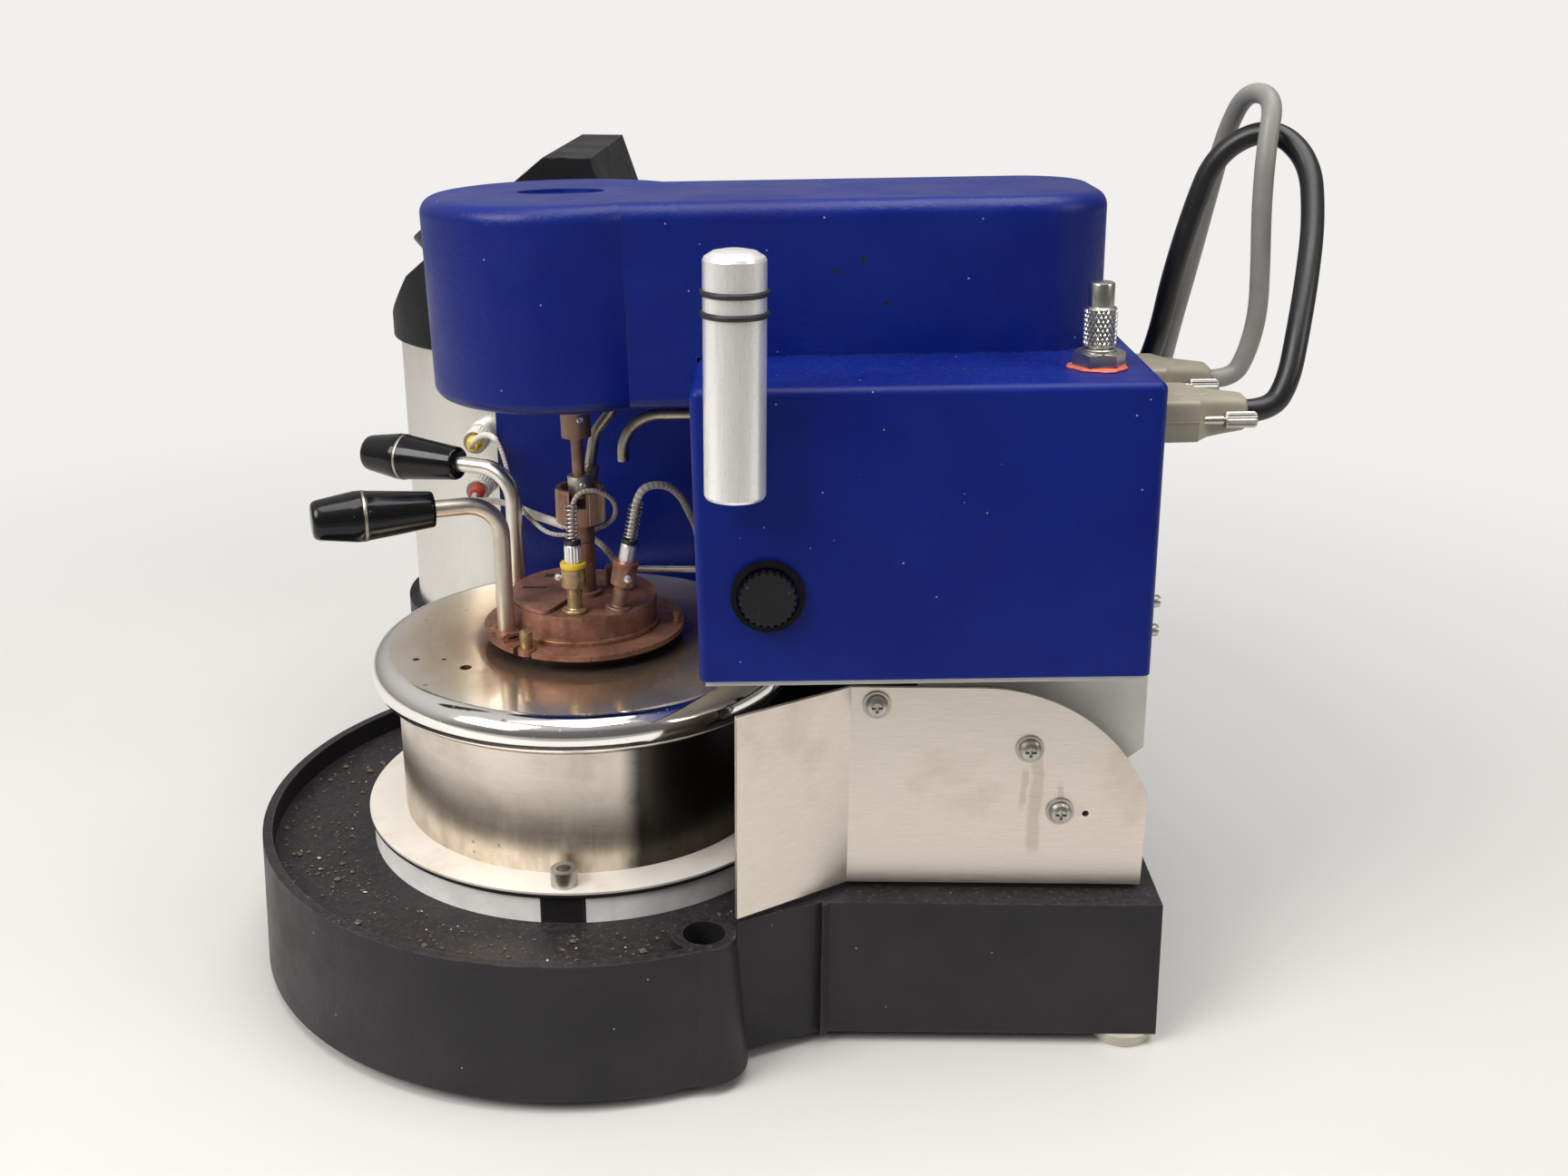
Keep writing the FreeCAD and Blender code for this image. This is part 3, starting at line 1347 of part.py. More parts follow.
def make_connector_hoods():
    """Two connector hoods on the rear face of the box."""
    hoods = []
    for y in hood_ys:
        z0 = hood_z - hood_height / 2
        z1 = hood_z + hood_height / 2
        y0 = y - hood_width / 2
        y1 = y + hood_width / 2
        plate = block(box_x1, box_x1 + hood_plate, y0 - hood_plate_extra, y1 + hood_plate_extra,
                      z0 + hood_plate, z1 - hood_plate)
        x1 = box_x1 + hood_length
        body = block(box_x1, x1, y0, y1, z0, z1)
        body = body.cut(block(box_x1 + thumb_start_length, x1 + over, y0 - over, y0 + hood_width / 5,
                              z0 - over, z1 + over))
        body = body.cut(block(box_x1 + thumb_start_length, x1 + over, y1 - hood_width / 5, y1 + over,
                              z0 - over, z1 + over))
        neck = block(x1 - over, x1 + hood_neck_length, y - hood_neck_width / 2,
                     y + hood_neck_width / 2, hood_z - hood_neck_height / 2,
                     hood_z + hood_neck_height / 2)
        hoods.append(fused([plate, body, neck]))
    return Part.Compound(hoods)


def make_hood_thumbscrews():
    """Knurled thumbscrews at both sides of each hood."""
    screws = []
    for y in hood_ys:
        for side in (-1, 1):
            yy = y + side * (hood_width / 2 - thumb_inset - thumb_r / 2)
            x0 = box_x1 + thumb_start_length
            knurl = rod((x0 + thumb_length / 3, yy, hood_z), (x0 + thumb_length, yy, hood_z), thumb_r)
            shank = rod((x0, yy, hood_z), (x0 + thumb_length / 2, yy, hood_z), thumb_shank_r)
            screws.append(fused([knurl, shank]))
    return Part.Compound(screws)


def make_storage_tube():
    """Bright round tube with a domed top, held by a stud in the box face."""
    profile = [(0, tube_low), (tube_r - ring_section / 2, tube_low), (tube_r, tube_low + ring_section),
               (tube_r, tube_high - ring_section), (tube_r - ring_section / 2, tube_high)]
    for wide, high in tube_dome_shares:
        profile.append((tube_r * wide, tube_high + tube_dome * high))
    profile.append((0, tube_high + tube_dome))
    body = turned(profile, V(tube_x, tube_y, 0))
    face = V(tube_x, box_y0, stud_z)
    stud = rod((tube_x, tube_y, stud_z), (face.x, face.y, face.z), stud_r)
    stud = stud.cut(level_to_rest(block(box_x0, box_x1, box_y0, box_y1, box_z0, box_z1)))
    body = fused([body, stud])
    for z in ring_heights:
        body = body.cut(Part.makeTorus(tube_r, ring_section, V(tube_x, tube_y, z), UP))
    return body


def make_tube_rings():
    """Two black rings in the storage tube's grooves."""
    rings = [Part.makeTorus(tube_r, ring_section, V(tube_x, tube_y, z), UP) for z in ring_heights]
    return Part.Compound(rings)


def make_tower_plinth():
    """Black plinth under tower and housing, with the recess that both stand in."""
    body = stadium(plinth_r, housing_end_x, base_height, plinth_top, plinth_r - tower_r)
    recess = stadium(tower_r + wall_gap, housing_end_x, plinth_top - plinth_recess, plinth_top + over,
                     wall_gap)
    hollow = stadium(tower_r - plinth_recess, housing_end_x, base_height - over,
                     plinth_top - 2 * plinth_recess, -plinth_recess)
    scallop = disc(plate_r + over, base_height - over, plate_top + over)
    return body.cut(recess).cut(hollow).cut(scallop)


def make_tower_shell():
    """Stainless half-round front of the tower."""
    low = plinth_top - plinth_recess
    body = stadium(tower_r, housing_end_x, low, tower_top)
    body = body.cut(stadium(tower_r - tower_wall, housing_end_x, low - over, tower_top + over))
    body = in_front_of(body, split_x)
    for z in socket_heights:
        body = body.cut(rod((socket_x, 0, z), (socket_x, tower_y, z), socket_r + run_fit))
    return body


def make_housing_cover():
    """Blue housing behind the tower's front, with its top."""
    low = plinth_top - plinth_recess
    body = stadium(tower_r, housing_end_x, low, tower_top)
    body = body.cut(stadium(tower_r - housing_wall, housing_end_x, low - over,
                            tower_top - housing_wall, over))
    body = behind(body, split_x)
    for x, z in (probe_gland, black_gland, grey_gland):
        body = body.cut(rod((x, 0, z), (x, tower_y, z), gland_r + run_fit))
    return body


def make_housing_rear_panel():
    """Sheet that closes the housing at the rear, with the inlet's cut-out."""
    low = plinth_top - plinth_recess
    reach = tower_r - housing_wall - run_fit
    body = block(housing_end_x - panel_thickness, housing_end_x, tower_y - reach, tower_y + reach, low,
                 tower_top - housing_wall)
    return body.cut(block(housing_end_x - panel_thickness - over, housing_end_x + over,
                          inlet_y - inlet_width / 2, inlet_y + inlet_width / 2,
                          inlet_z - inlet_height / 2, inlet_z + inlet_height / 2))


def make_power_inlet():
    """Mains inlet in the rear panel, with its flange and three blades."""
    half_w = inlet_width / 2 - run_fit
    half_h = inlet_height / 2 - run_fit
    body = block(housing_end_x - inlet_depth, housing_end_x, inlet_y - half_w, inlet_y + half_w,
                 inlet_z - half_h, inlet_z + half_h)
    rim = inlet_rim
    flange = block(housing_end_x, housing_end_x + panel_thickness, inlet_y - half_w - rim,
                   inlet_y + half_w + rim, inlet_z - half_h - rim / 2, inlet_z + half_h + rim / 2)
    body = fused([body, flange])
    body = body.cut(block(housing_end_x - inlet_depth * inlet_bore_share,
                          housing_end_x + panel_thickness + over,
                          inlet_y - half_w + rim / 2, inlet_y + half_w - rim / 2,
                          inlet_z - half_h + rim / 2, inlet_z + half_h - rim / 2))
    blade = panel_thickness / 2
    for step, rise in ((-1, 0), (0, 1), (1, 0)):
        y = inlet_y + step * inlet_width / 4
        z = inlet_z + rise * inlet_height / 8
        tip = housing_end_x - inlet_depth * (1 - inlet_blade_share)
        body = fused([body, block(housing_end_x - inlet_depth, tip, y - blade / 2, y + blade / 2,
                                  z - blade * 2, z + blade * 2)])
    return body


def make_display_head():
    """Black head of the tower: round nose, sloping control face, flat top, leaning back."""
    def profile(wall, low):
        return polygon_prism([
            (nose_x + wall, tower_y - head_r - over, low),
            (nose_x + wall, tower_y - head_r - over, nose_z),
            (slope_low_x + wall, tower_y - head_r - over, slope_low_z - wall / 2),
            (slope_high_x + wall / 2, tower_y - head_r - over, head_top - wall),
            (head_back_x - wall / 2, tower_y - head_r - over, head_top - wall),
            (head_back_low_x - wall, tower_y - head_r - over, low)], V(0, 2 * head_r + 2 * over, 0))
    body = profile(0, tower_top).common(stadium(head_r, housing_end_x, tower_top, head_top + over))
    inside = profile(head_wall, tower_top - over).common(
        stadium(head_r - head_wall, housing_end_x, tower_top - over, head_top))
    body = body.cut(inside)
    body = body.cut(slope_place(block(-window_length / 2, window_length / 2, -window_height / 2,
                                      window_height / 2, -window_thickness, over), window_up_slope))
    body = body.cut(slope_place(disc(knob_shaft_r + run_fit, -head_wall * 3, over), knob_up_slope))
    return body


def slope_place(shape, up_slope):
    """Shape drawn on the sloping face's own axes, put at a distance up the slope."""
    result = spun(shape, 90)
    result = spun(result, -slope_turn, V(0, 0, 0), BACK)
    a = math.radians(slope_turn)
    result.translate(V(slope_low_x + up_slope * math.cos(a), tower_y,
                       slope_low_z + up_slope * math.sin(a)))
    return result


def make_display_window():
    """Dark window in the control face."""
    play = run_fit
    return slope_place(block(-window_length / 2 + play, window_length / 2 - play, -window_height / 2 + play,
                             window_height / 2 - play, -window_thickness, 0), window_up_slope)


def make_knob_shaft():
    """Shaft that is pressed in with the knob; a flange inside keeps it in the face."""
    shaft = disc(knob_shaft_r, -knob_shaft_length, knob_lift + knob_height / 2)
    inside = -head_wall - seat_gap
    flange = disc(knob_flange_r, inside - knob_flange_height, inside)
    return slope_place(fused([shaft, flange]), knob_up_slope)


def make_turn_knob():
    """Round control knob on its shaft."""
    body = disc(knob_r, knob_lift, knob_lift + knob_height)
    body = rounded(body, knob_lift / 2, lambda e: flat_at(e, knob_lift + knob_height))
    body = body.cut(disc(knob_shaft_r + run_fit, 0, knob_lift + knob_height / 2 + seat_gap))
    return slope_place(body, knob_up_slope)


def make_tower_sockets():
    """Two sockets in the tower's side."""
    inner = tower_y - tower_r + socket_r
    return Part.Compound([rod((socket_x, socket_front_y, z), (socket_x, inner, z), socket_r)
                          for z in socket_heights])


def make_sensor_plugs():
    """Plugs in the tower's sockets, each with its coloured boot."""
    plugs = []
    for z in socket_heights:
        body = rod((socket_x, plug_front_y, z), (socket_x, socket_front_y, z), plug_r)
        boot = Part.makeCone(boot_r, boot_tip_r, plug_front_y - boot_front_y, V(socket_x, plug_front_y, z),
                             V(0, -1, 0))
        plugs.append(fused([body, boot]))
    return Part.Compound(plugs)


def make_wall_glands():
    """Glands where the cables enter the housing."""
    face = tower_y - tower_r
    return Part.Compound([rod((x, face - gland_outer_length, z), (x, face + gland_inner_length, z), gland_r)
                          for x, z in (probe_gland, black_gland, grey_gland)])


def make_circuit_board():
    """Control board that stands in the housing on its two posts."""
    floor = plinth_top - plinth_recess
    x1 = board_x0 + board_length
    board = block(board_x0, x1, board_y, board_y + board_thickness, floor, floor + board_height)
    shapes = [board]
    low = floor + board_height * chip_rise_share
    for share in chip_place_shares:
        x = board_x0 + board_length * share
        shapes.append(block(x, x + chip_height * 2, board_y - chip_height, board_y + over,
                            low, low + chip_height * 3))
    for x in (board_x0 + chip_height, x1 - chip_height):
        shapes.append(block(x - chip_height / 2, x + chip_height / 2, board_y,
                            board_y + chip_height, floor, floor + board_height / 4))
    return fused(shapes)


def build():
    """All pieces by name, in the frame of the cup's axis."""
    pieces = {
        "base_tray": make_base_tray(),
        "base_bottom_plate": make_base_bottom_plate(),
        "base_feet": make_base_feet(),
        "foot_screws": make_foot_screws(),
        "skirt_ring": make_skirt_ring(),
        "stove_gasket": make_stove_gasket(),
        "stove_plate": make_stove_plate(),
        "plate_screws": make_plate_screws(),
        "stove_cylinder": make_stove_cylinder(),
        "stove_dome": make_stove_dome(),
        "heater_block": make_heater_block(),
        "heater_band": make_heater_band(),
        "test_cup": make_test_cup(),
        "cup_handle": make_handle(cup_handle_turn, cup_handle_ring_r, -1, flange_top + ear_height,
                                  cup_handle_height),
        "cup_grip": make_grip(cup_handle_turn, cup_handle_ring_r, -1, cup_handle_height),
        "lid_cover": make_lid_cover(),
        "lid_handle": make_handle(lid_handle_turn, lid_handle_ring_r, 1, flange_top + ear_height,
                                  lid_handle_height),
        "lid_grip": make_grip(lid_handle_turn, lid_handle_ring_r, 1, lid_handle_height),
        "sensor_sockets": make_sensor_sockets(),
        "sensor_probes": make_sensor_probes(),
        "strain_springs": make_strain_springs(),
        "shutter_plate": make_shutter_plate(),
        "stirrer": make_stirrer(),
        "shield_plate": make_shield_plate(),
        "shield_screws": make_shield_screws(),
        "chassis_frame": make_chassis_frame(),
        "pivot_shaft": make_pivot_shaft(),
        "tower_plinth": make_tower_plinth(),
        "tower_shell": make_tower_shell(),
        "housing_cover": make_housing_cover(),
        "housing_rear_panel": make_housing_rear_panel(),
        "power_inlet": make_power_inlet(),
        "display_head": make_display_head(),
        "display_window": make_display_window(),
        "knob_shaft": make_knob_shaft(),
        "turn_knob": make_turn_knob(),
        "tower_sockets": make_tower_sockets(),
        "sensor_plugs": make_sensor_plugs(),
        "wall_glands": make_wall_glands(),
        "circuit_board": make_circuit_board(),
        "storage_tube": make_storage_tube(),
        "tube_rings": make_tube_rings(),
        "yellow_cable": cord("yellow_cable", yellow_route, yellow_dia),
        "white_cable": cord("white_cable", white_route, white_dia),
        "probe_cable": cord("probe_cable", probe_route, probe_dia),
        "black_cable": cord("black_cable", black_route, black_dia),
        "grey_cable": cord("grey_cable", grey_route, grey_dia)}
    level = {
        "head_frame": make_head_frame(),
        "box_cover": make_box_cover(),
        "arm_cover": make_arm_cover(),
        "stirrer_motor": make_stirrer_motor(),
        "drive_spindle": make_drive_spindle(),
        "nozzle_tube": make_nozzle_tube(),
        "guide_rod": make_guide_rod(),
        "cap_ring": make_cap_ring(),
        "screw_cap": make_screw_cap(),
        "plunger_nut": make_plunger_nut(),
        "index_plunger": make_index_plunger(),
        "connector_hoods": make_connector_hoods(),
        "hood_thumbscrews": make_hood_thumbscrews()}
    for name, shape in level.items():
        pieces[name] = level_to_rest(shape)
    return pieces


cord_pieces = ("yellow_cable", "white_cable", "probe_cable", "black_cable", "grey_cable")


def main():
    """Build the pieces, put the origin under the middle of the part, and write one file each."""
    os.makedirs("parts", exist_ok=True)
    pieces = build()
    box = FreeCAD.BoundBox()
    for name, shape in pieces.items():
        if name not in cord_pieces:
            box.add(shape.BoundBox)
    shift = V(-(box.XMin + box.XMax) / 2, -(box.YMin + box.YMax) / 2, -box.ZMin)
    print("shift to the origin", [round(value, 4) for value in shift])
    print("size", round(box.XLength, 2), round(box.YLength, 2), round(box.ZLength, 2))
    for name, shape in sorted(pieces.items()):
        shape = shape.copy()
        shape.translate(shift)
        if not shape.isValid():
            print("not valid:", name)
        shape.exportStep("parts/" + name + ".step")
    print("pieces", len(pieces))


main()
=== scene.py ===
"""Looks of a closed-cup flash point tester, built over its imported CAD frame. Sizes in metres."""

import math

import bmesh
import bpy
import numpy as np
from mathutils import Matrix, Vector


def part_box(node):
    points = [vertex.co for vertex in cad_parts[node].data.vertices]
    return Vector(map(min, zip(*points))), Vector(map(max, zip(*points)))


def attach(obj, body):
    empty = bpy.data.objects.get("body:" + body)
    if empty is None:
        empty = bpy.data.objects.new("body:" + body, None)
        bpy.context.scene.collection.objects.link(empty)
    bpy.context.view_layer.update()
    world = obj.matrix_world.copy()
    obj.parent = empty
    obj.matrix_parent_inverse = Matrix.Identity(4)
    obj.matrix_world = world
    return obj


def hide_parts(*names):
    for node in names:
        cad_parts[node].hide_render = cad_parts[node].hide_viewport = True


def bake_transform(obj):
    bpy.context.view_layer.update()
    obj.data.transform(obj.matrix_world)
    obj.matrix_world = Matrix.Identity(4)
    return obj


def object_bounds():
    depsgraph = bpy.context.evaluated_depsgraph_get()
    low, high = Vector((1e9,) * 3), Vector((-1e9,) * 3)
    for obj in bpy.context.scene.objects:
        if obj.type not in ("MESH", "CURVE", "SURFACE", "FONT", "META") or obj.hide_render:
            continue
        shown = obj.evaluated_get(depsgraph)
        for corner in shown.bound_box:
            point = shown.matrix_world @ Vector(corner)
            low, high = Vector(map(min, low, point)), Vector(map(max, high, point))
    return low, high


bl_info = {
    "name": "Flash Point Tester",
    "version": (1, 0, 0),
    "blender": (4, 5, 0),
    "location": "View3D > Sidebar > Tester",
    "description": "Dresses the frame of a closed-cup flash point tester",
    "category": "Object",
}

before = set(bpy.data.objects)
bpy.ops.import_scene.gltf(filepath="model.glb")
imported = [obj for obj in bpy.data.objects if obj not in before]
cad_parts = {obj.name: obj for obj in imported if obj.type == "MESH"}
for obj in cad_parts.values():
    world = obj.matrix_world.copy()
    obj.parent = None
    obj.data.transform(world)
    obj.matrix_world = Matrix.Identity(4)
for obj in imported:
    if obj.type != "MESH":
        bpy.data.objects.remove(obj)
cad_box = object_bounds()

# The cup's axis and the lower edge of the base, read from the frame
plate_low, plate_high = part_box("stove_plate")
CUP = np.array([(plate_low.x + plate_high.x) / 2, (plate_low.y + plate_high.y) / 2,
    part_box("base_tray")[0].z])
MM = 0.001
TAU = 2 * math.pi
PIVOT = (150.0, 67.0)  # x and z of the axis the head tilts about
HEAD_TURN = math.radians(-1.5)  # how the head rests


def laid(points):
    """Points in metres in the frame, from one or many in millimetres from the cup's axis and the base's
    lower edge."""
    return np.asarray(points, float) * MM + CUP


def laid_on_head(points):
    """As laid, for points of the level head, turned about the pivot as the head rests: the arm (dx, dz)
    from the pivot becomes (dx cos t + dz sin t, dz cos t - dx sin t)."""
    x, y, z = np.asarray(points, float).T
    dx, dz = x - PIVOT[0], z - PIVOT[1]
    c, s = math.cos(HEAD_TURN), math.sin(HEAD_TURN)
    return laid(np.stack([PIVOT[0] + dx * c + dz * s, y, PIVOT[1] - dx * s + dz * c], axis=-1))


def at(x, y, z):
    """One point laid."""
    return laid((x, y, z))


def on_head(x, y, z):
    """One point laid on the head."""
    return laid_on_head((x, y, z))


HEAD_UP = on_head(0, 0, 1) - on_head(0, 0, 0)
HEAD_BACK = on_head(1, 0, 0) - on_head(0, 0, 0)


def add_mesh(name, verts, faces, smooth_below=40.0, uv=None):
    """Object from points and faces; edges flatter than the angle are shaded smooth."""
    mesh = bpy.data.meshes.new(name)
    mesh.from_pydata(np.asarray(verts, float).tolist(), [], [list(map(int, f)) for f in faces])
    mesh.validate()
    mesh.polygons.foreach_set("use_smooth", np.ones(len(mesh.polygons), bool))
    mesh.set_sharp_from_angle(angle=math.radians(smooth_below))
    if uv is not None:
        layer = mesh.uv_layers.new(name="Along")
        index = np.zeros(len(mesh.loops), np.int32)
        mesh.loops.foreach_get("vertex_index", index)
        layer.data.foreach_set("uv", np.asarray(uv, np.float32)[index].ravel())
    mesh.update()
    piece = bpy.data.objects.new(name, mesh)
    bpy.context.scene.collection.objects.link(piece)
    return piece


def tube_faces(count, steps):
    """Quads of rings that close on themselves, and a flat fan over the first and the last ring."""
    i, j = np.meshgrid(np.arange(count - 1), np.arange(steps), indexing="ij")
    k = (j + 1) % steps
    quads = np.stack([i * steps + j, i * steps + k, (i + 1) * steps + k, (i + 1) * steps + j], axis=-1)
    ends = [list(range(steps))[::-1], list(range((count - 1) * steps, count * steps))]
    return quads.reshape(-1, 4).tolist() + ends


def round_angles(steps):
    """Angles once round, the last one left out."""
    return np.linspace(0, TAU, steps, endpoint=False)


def frame_of(axis):
    """Two unit vectors square to an axis, and the axis itself."""
    w = np.asarray(axis, float)
    w = w / np.linalg.norm(w)
    near = np.array([1.0, 0, 0]) if abs(w[0]) < 0.8 else np.array([0, 1.0, 0])
    u = np.cross(near, w)
    u = u / np.linalg.norm(u)
    return u, np.cross(w, u), w


def lathe(profile, origin, axis, steps, ripple=None):
    """Turned surface: point = origin + r(h) * (cos a * u + sin a * v) + h * w. Both ends close in a
    flat fan. The ripple is a function of angle and height that is added to the radius."""
    profile = np.asarray(profile, float) * MM
    u, v, w = frame_of(axis)
    a = round_angles(steps)
    r = np.repeat(profile[:, :1], steps, axis=1)
    h = np.repeat(profile[:, 1:], steps, axis=1)
    if ripple is not None:
        r = r + ripple(np.repeat(a[None, :], len(profile), axis=0), h / MM) * MM
    spokes = np.cos(a)[None, :, None] * u + np.sin(a)[None, :, None] * v
    points = np.asarray(origin, float) + r[..., None] * spokes + h[..., None] * w
    return points.reshape(-1, 3), tube_faces(len(profile), steps)


def pipe(path, radius, steps):
    """Round tube: each ring is centre + R * (cos a * u + sin a * v), the pair u, v carried along the
    path without twist. R may be a list, one per point. Also returns uv as (turn, length)."""
    path = np.asarray(path, float)
    radius = np.broadcast_to(np.asarray(radius, float), (len(path),))
    tangent = np.gradient(path, axis=0)
    tangent = tangent / np.linalg.norm(tangent, axis=1)[:, None]
    u, v, _ = frame_of(tangent[0])
    a = round_angles(steps)
    rings = []
    for centre, way, r in zip(path, tangent, radius):
        u = u - way * (u @ way)
        u = u / np.linalg.norm(u)
        v = np.cross(way, u)
        rings.append(centre + r * (np.cos(a)[:, None] * u + np.sin(a)[:, None] * v))
    run = np.concatenate([[0], np.cumsum(np.linalg.norm(np.diff(path, axis=0), axis=1))])
    fold = np.abs(a / math.pi - 1)
    uv = np.stack([np.tile(fold, len(path)), np.repeat(run, steps)], axis=1)
    return np.concatenate(rings), tube_faces(len(path), steps), uv


def brick(low, high, bevel):
    """Box between two corners in millimetres with chamfered edges: each of its eight corners is three
    points drawn in by the bevel."""
    verts = []
    for ends in np.ndindex(2, 2, 2):
        for axis in range(3):
            step = np.where(ends, -bevel, bevel)
            step[axis] = 0
            verts.append(np.where(ends, high, low) + step)
    return laid(verts), hull_faces(verts)


def hull_faces(points):
    """Faces of the convex hull of a few points, as bmesh works it out."""
    bm = bmesh.new()
    made = [bm.verts.new(p) for p in points]
    bmesh.ops.convex_hull(bm, input=made)
    bm.verts.index_update()
    faces = [[v.index for v in f.verts] for f in bm.faces]
    bm.free()
    return faces


def diamonds(count, pitch, depth, low, high):
    """Knurl between two heights: depth times the smaller of |sin(n a + k h)| and |sin(n a - k h)|."""
    def ripple(a, h):
        one = np.abs(np.sin(count * a / 2 + math.pi * h / pitch))
        two = np.abs(np.sin(count * a / 2 - math.pi * h / pitch))
        return depth * np.minimum(one, two) * ((h > low) & (h < high))
    return ripple


def flutes(count, depth, low, high):
    """Straight ribs between two heights: depth times cos(n a)."""
    def ripple(a, h):
        return depth * np.cos(count * a) * ((h > low) & (h < high))
    return ripple


def rows(r0, h0, r1, h1, count):
    """Profile points spread evenly between two."""
    return list(zip(np.linspace(r0, r1, count), np.linspace(h0, h1, count)))


def loft(sections):
    """Body on the head, along x through rounded boxes: a section at x has the points y = w * c(a),
    z = h * s(a), with c and s the cosine and sine raised to 2 / power. Sections are (x, y, z, w, h,
    power)."""
    steps = 64
    a = round_angles(steps)
    table = np.asarray(sections, float)
    x, y, z, w, h, power = [table[:, i:i + 1] for i in range(6)]
    wide = np.sign(np.cos(a)) * np.abs(np.cos(a)) ** (2 / power)
    high = np.sign(np.sin(a)) * np.abs(np.sin(a)) ** (2 / power)
    points = np.stack([np.repeat(x, steps, axis=1), y + w * wide, z + h * high], axis=-1)
    return laid_on_head(points.reshape(-1, 3)), tube_faces(len(table), steps)


def hex_nut(centre, flats, low, high):
    """Nut on the head: hull of a hexagon, drawn in from both ends, and of a round rim at each end."""
    a = np.arange(6) * math.pi / 3
    corner = flats / math.sqrt(3)
    turn = round_angles(36)
    chamfer = (corner - flats / 2) * 0.45
    shapes = []
    for z, inner in ((low, 0), (low + chamfer, 1), (high - chamfer, 1), (high, 0)):
        angle = a if inner else turn
        radius = corner if inner else flats / 2 * 0.99
        shapes.append(np.stack([centre[0] + radius * np.cos(angle), centre[1] + radius * np.sin(angle),
            np.full(len(angle), z)], axis=1))
    points = np.concatenate(shapes)
    return laid_on_head(points), hull_faces(points)


def socket_screw(origin, axis, r, height, steps=24):
    """Small round screw head with a recess: a turned profile."""
    return lathe([(r, 0), (r, height * 0.7), (r * 0.82, height), (r * 0.5, height),
        (r * 0.42, height * 0.35), (r * 0.02, height * 0.3)], origin, axis, steps)


def piece(name, parts, body, material, slot, smooth_below=40.0, replaces=()):
    """Finished piece from several shapes (points, faces), riding on a body."""
    faces = []
    count = 0
    for points, some in parts:
        faces.extend([[i + count for i in f] for f in some])
        count += len(points)
    made = add_mesh(name, np.concatenate([part[0] for part in parts]), faces, smooth_below)
    made.data.materials.append(MATERIALS[material])
    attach(made, body)
    if replaces:
        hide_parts(*replaces)
    return made


def dress(node, material):
    """Gives a CAD node its material."""
    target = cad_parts[node]
    for slot_of in target.material_slots:
        slot_of.material = material
    if not target.material_slots:
        target.data.materials.append(material)


class Tree:
    """Adds nodes to a tree: sockets are linked, other values are set."""

    def __init__(self, tree):
        self.tree = tree

    def add(self, kind, inputs=None, **settings):
        """New shader node with its settings and inputs."""
        made = self.tree.nodes.new(kind if kind.startswith("NodeGroup") else "ShaderNode" + kind)
        for key, value in settings.items():
            setattr(made, key, value)
        for key, value in (inputs or {}).items():
            self.give(made.inputs[key], value)
        return made

    def give(self, target, value):
        """Links a socket to an input or sets the input to a value."""
        if isinstance(value, bpy.types.NodeSocket):
            self.tree.links.new(value, target)
        else:
            target.default_value = value

    def math(self, operation, a, b=0.0, clamp=False):
        """Value worked out from two."""
        return self.add("Math", {0: a, 1: b}, operation=operation, use_clamp=clamp).outputs[0]

    def times(self, a, b, clamp=False):
        """Product."""
        return self.math("MULTIPLY", a, b, clamp)

    def plus(self, a, b, clamp=False):
        """Sum."""
        return self.math("ADD", a, b, clamp)

    def minus(self, a, b):
        """Difference."""
        return self.math("SUBTRACT", a, b)

    def mix(self, share, a, b):
        """Colour between two."""
        return self.add("Mix", {0: share, 6: a, 7: b}, data_type="RGBA").outputs[2]

    def span(self, value, low, high, to_low=0.0, to_high=1.0):
        """Value mapped smoothly from one range to another."""
        return self.add("MapRange", {0: value, 1: low, 2: high, 3: to_low, 4: to_high},
            interpolation_type="SMOOTHSTEP").outputs[0]

    def even(self, noise, to_low, to_high):
        """Noise mapped over the range where most of its values lie."""
        return self.span(noise, 0.3, 0.7, to_low, to_high)

    def noise(self, vector, scale, detail, rough=0.55):
        """Value of a noise pattern."""
        return self.add("TexNoise", {"Vector": vector, "Scale": scale, "Detail": detail,
            "Roughness": rough}).outputs["Fac"]

    def mapped(self, vector, scale=(1, 1, 1), location=(0, 0, 0)):
        """Vector moved and scaled."""
        return self.add("Mapping", {"Vector": vector, "Scale": scale, "Location": location}).outputs[0]

    def split(self, vector):
        """X, Y and Z of a vector."""
        return self.add("SeparateXYZ", {0: vector}).outputs

    def length(self, vector):
        """Length of a vector."""
        return self.add("VectorMath", {0: vector}, operation="LENGTH").outputs["Value"]

    def scaled(self, vector, share):
        """Vector or colour times a value."""
        return self.add("VectorMath", {0: vector, 3: share}, operation="SCALE").outputs[0]


class Effect(Tree):
    """Node group with a vector and some numbers as inputs and one value out."""

    def __init__(self, name, output, **numbers):
        super().__init__(bpy.data.node_groups.new(name, "ShaderNodeTree"))
        socket = self.tree.interface.new_socket
        socket("Vector", in_out="INPUT", socket_type="NodeSocketVector")
        for label, value in numbers.items():
            socket(label, in_out="INPUT", socket_type="NodeSocketFloat").default_value = value
        socket(output, in_out="OUTPUT", socket_type="NodeSocketFloat")
        self.given = self.add("NodeGroupInput").outputs
        self.place = self.given["Vector"]

    def done(self, value):
        """Sends the value out and gives back the group."""
        self.tree.links.new(value, self.add("NodeGroupOutput").inputs[0])
        return self.tree


def group_skin():
    """Textured paint: fine pebbles with soft tops."""
    t = Effect("Pebbled Paint", "Height", Size=700.0, Depth=1.0)
    cells = t.add("TexVoronoi", {"Vector": t.place, "Scale": t.given["Size"], "Randomness": 1.0},
        feature="SMOOTH_F1")
    fine = t.noise(t.place, t.times(t.given["Size"], 2.3), 2.0)
    both = t.plus(t.times(cells.outputs["Distance"], -0.7), fine)
    return t.done(t.times(both, t.given["Depth"]))


